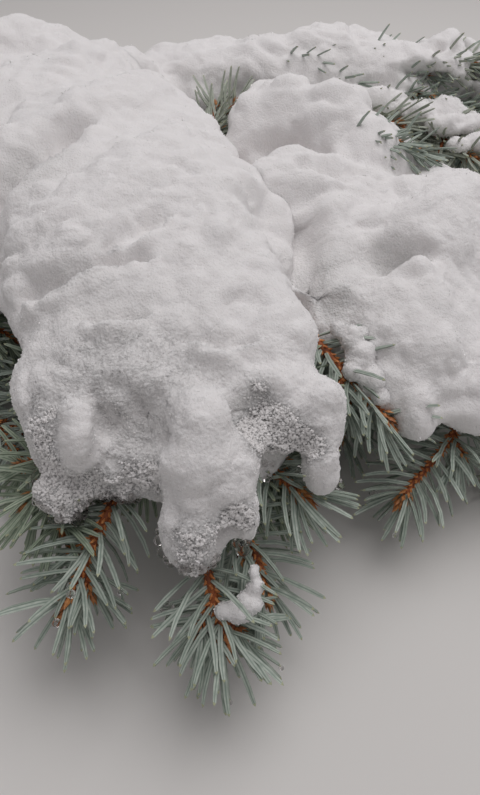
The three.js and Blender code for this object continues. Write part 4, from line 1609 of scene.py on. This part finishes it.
# %% Coarse ice on the soaked places
ICE_GRAINS = 7000
ICE_RADIUS = 0.42
front = snow_pieces[0]
middle, outward = places_on(front, ICE_GRAINS, draw, soaked_at)
size = ICE_RADIUS * MM * np.exp(np.clip(draw.normal(size=ICE_GRAINS), -2, 2) * 0.4)
size *= np.clip(wet_and_shade_level(middle / MM + CENTRE), 0.5, 1.0)
middle += outward * (size * 0.2)[:, None]
scatter("ice_grains", OCTAHEDRON, OCTAHEDRON_FACES, middle, size, grain_ice, draw)

# %% Where beads, drops and icicles are
# Middle and radius of each bead, in millimetres.
BEADS = [
    (-26.5, 106.4, 61.3, 1.9), (-25.4, 103.3, 59.6, 2.1), (-27.3, 109.2, 62.8, 1.5),
    (-23.8, 101.4, 57.8, 1.6), (1.0, 104.3, 57.9, 1.4), (2.2, 103.4, 56.9, 1.2),
    (-69.2, 130.9, 63.3, 3.4), (-66.0, 127.0, 61.0, 3.0), (-64.3, 122.3, 58.9, 2.6),
    (-60.0, 121.0, 58.0, 2.8), (-56.5, 120.6, 57.2, 2.2), (-48.0, 129.4, 61.8, 1.7),
    (-47.7, 127.0, 60.2, 1.4), (-47.5, 124.8, 58.5, 1.5), (8.9, 133.5, 68.6, 1.1),
    (12.0, 132.0, 68.4, 1.0), (17.6, 130.5, 68.5, 1.3), (10.3, 129.5, 63.3, 1.3),
    (13.8, 75.1, 32.9, 0.9),
]
# Where a drop hangs from the nearest needle, its radius, and how far it is drawn out.
DROPS = [
    (-24.5, 92.2, 48.7, 2.5, 7.0), (37.9, 136.7, 55.1, 2.1, 4.0), (-62.5, 89.5, 39.7, 1.6, 3.0),
    (54.9, 145.8, 36.7, 1.8, 3.5), (14.1, 78.8, 26.6, 0.9, 1.0), (-3.4, 70.8, 17.3, 0.9, 1.0),
    (-54.0, 90.5, 58.0, 1.5, 2.5), (10.7, 131.0, 65.8, 1.2, 2.0), (61.7, 129.5, 29.1, 1.1, 1.5),
    (-39.9, 95.1, 49.6, 1.1, 1.5),
]
# Where the snow's lower edge drips: place, radius, length.
ICICLES = [
    (1.5, 104.5, 62.0, 2.6, 9.0), (-1.5, 104.0, 62.0, 1.5, 5.0), (-47.5, 126.0, 60.0, 1.6, 6.0),
    (-61.0, 121.0, 58.5, 2.2, 6.0), (-70.0, 127.0, 61.0, 2.0, 5.0), (-24.5, 101.0, 60.0, 1.7, 5.0),
]
# How many more beads chance puts along the lower edge, and how high above the floor they may be.
RIM_BEADS = 90
RIM_BELOW = 66.0
print(len(BEADS) + RIM_BEADS, "beads,", len(DROPS), "drops and", len(ICICLES), "icicles")

# %% Places for them on the snow
def on_snow(point, above):
    """The place a little above the front snow that is nearest to a point."""
    spot, outward, number, distance = snow_skins[0].find_nearest(placed(Vector(point)))
    return spot + outward * above * MM


def dripping_edge(points, outward):
    """Only the soaked snow that hangs over, along the lower edge."""
    low = (outward[:, 2] < 0.15) & (points[:, 2] < RIM_BELOW)
    return seen_from_eye(points, outward) * (wet_and_shade_level(points) > 0.5) * low


# %% Shape them
# How deep a bead sits in the snow, and how uneven it is, as shares of its radius.
BEAD_OUT = 0.35
BEAD_BENT = 0.35


def hang(shape, end, radius, drawn):
    """A drop, or a short icicle, whose drawn-out top is at a placed point."""
    for vertex in bmesh.ops.create_icosphere(shape, subdivisions=3, radius=1.0)["verts"]:
        up = max(0.0, vertex.co.z)
        thin = radius * (1 - 0.85 * up**0.8)
        vertex.co = end + (vertex.co * thin + Vector((0, 0, drawn * (up**1.5 - 0.9)))) * MM


def make_beads():
    shape = bmesh.new()
    for x, y, z, radius in BEADS:
        middle = on_snow((x, y, z), BEAD_OUT * radius)
        made = bmesh.ops.create_icosphere(shape, subdivisions=3, radius=radius)["verts"]
        for vertex in made:
            uneven = noise.noise(vertex.co / 1.3 + Vector((x, y, z)))
            bent = vertex.co.normalized() * BEAD_BENT * radius * uneven
            vertex.co = middle + (vertex.co + bent) * MM
    for middle, outward in zip(*places_on(front, RIM_BEADS, draw, dripping_edge)):
        radius = (0.7 + 0.9 * draw.random() ** 2) * MM
        bead = Matrix.Translation(Vector(middle + outward * radius * 0.4))
        bmesh.ops.create_icosphere(shape, subdivisions=2, radius=radius, matrix=bead)
    ends = np.array(needle_ends)
    for x, y, z, radius, drawn in DROPS:
        nearest = ends[np.argmin(np.sum((ends - [x, y, z]) ** 2, axis=1))]
        hang(shape, Vector(placed(nearest)), radius, drawn)
        print("a drop hangs", np.linalg.norm(nearest - [x, y, z]).round(1), "mm from its place")
    for x, y, z, radius, length in ICICLES:
        hang(shape, on_snow((x, y, z), -1.0), radius, length)
    for face in shape.faces:
        face.smooth = True
    bmesh.ops.recalc_face_normals(shape, faces=shape.faces)
    mesh = bpy.data.meshes.new("ice_beads")
    shape.to_mesh(mesh)
    shape.free()
    mesh.materials.append(clear_ice)
    piece = add_object("ice_beads", mesh)
    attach(piece, "root")
    print(piece.name, len(mesh.polygons), "triangles")


make_beads()
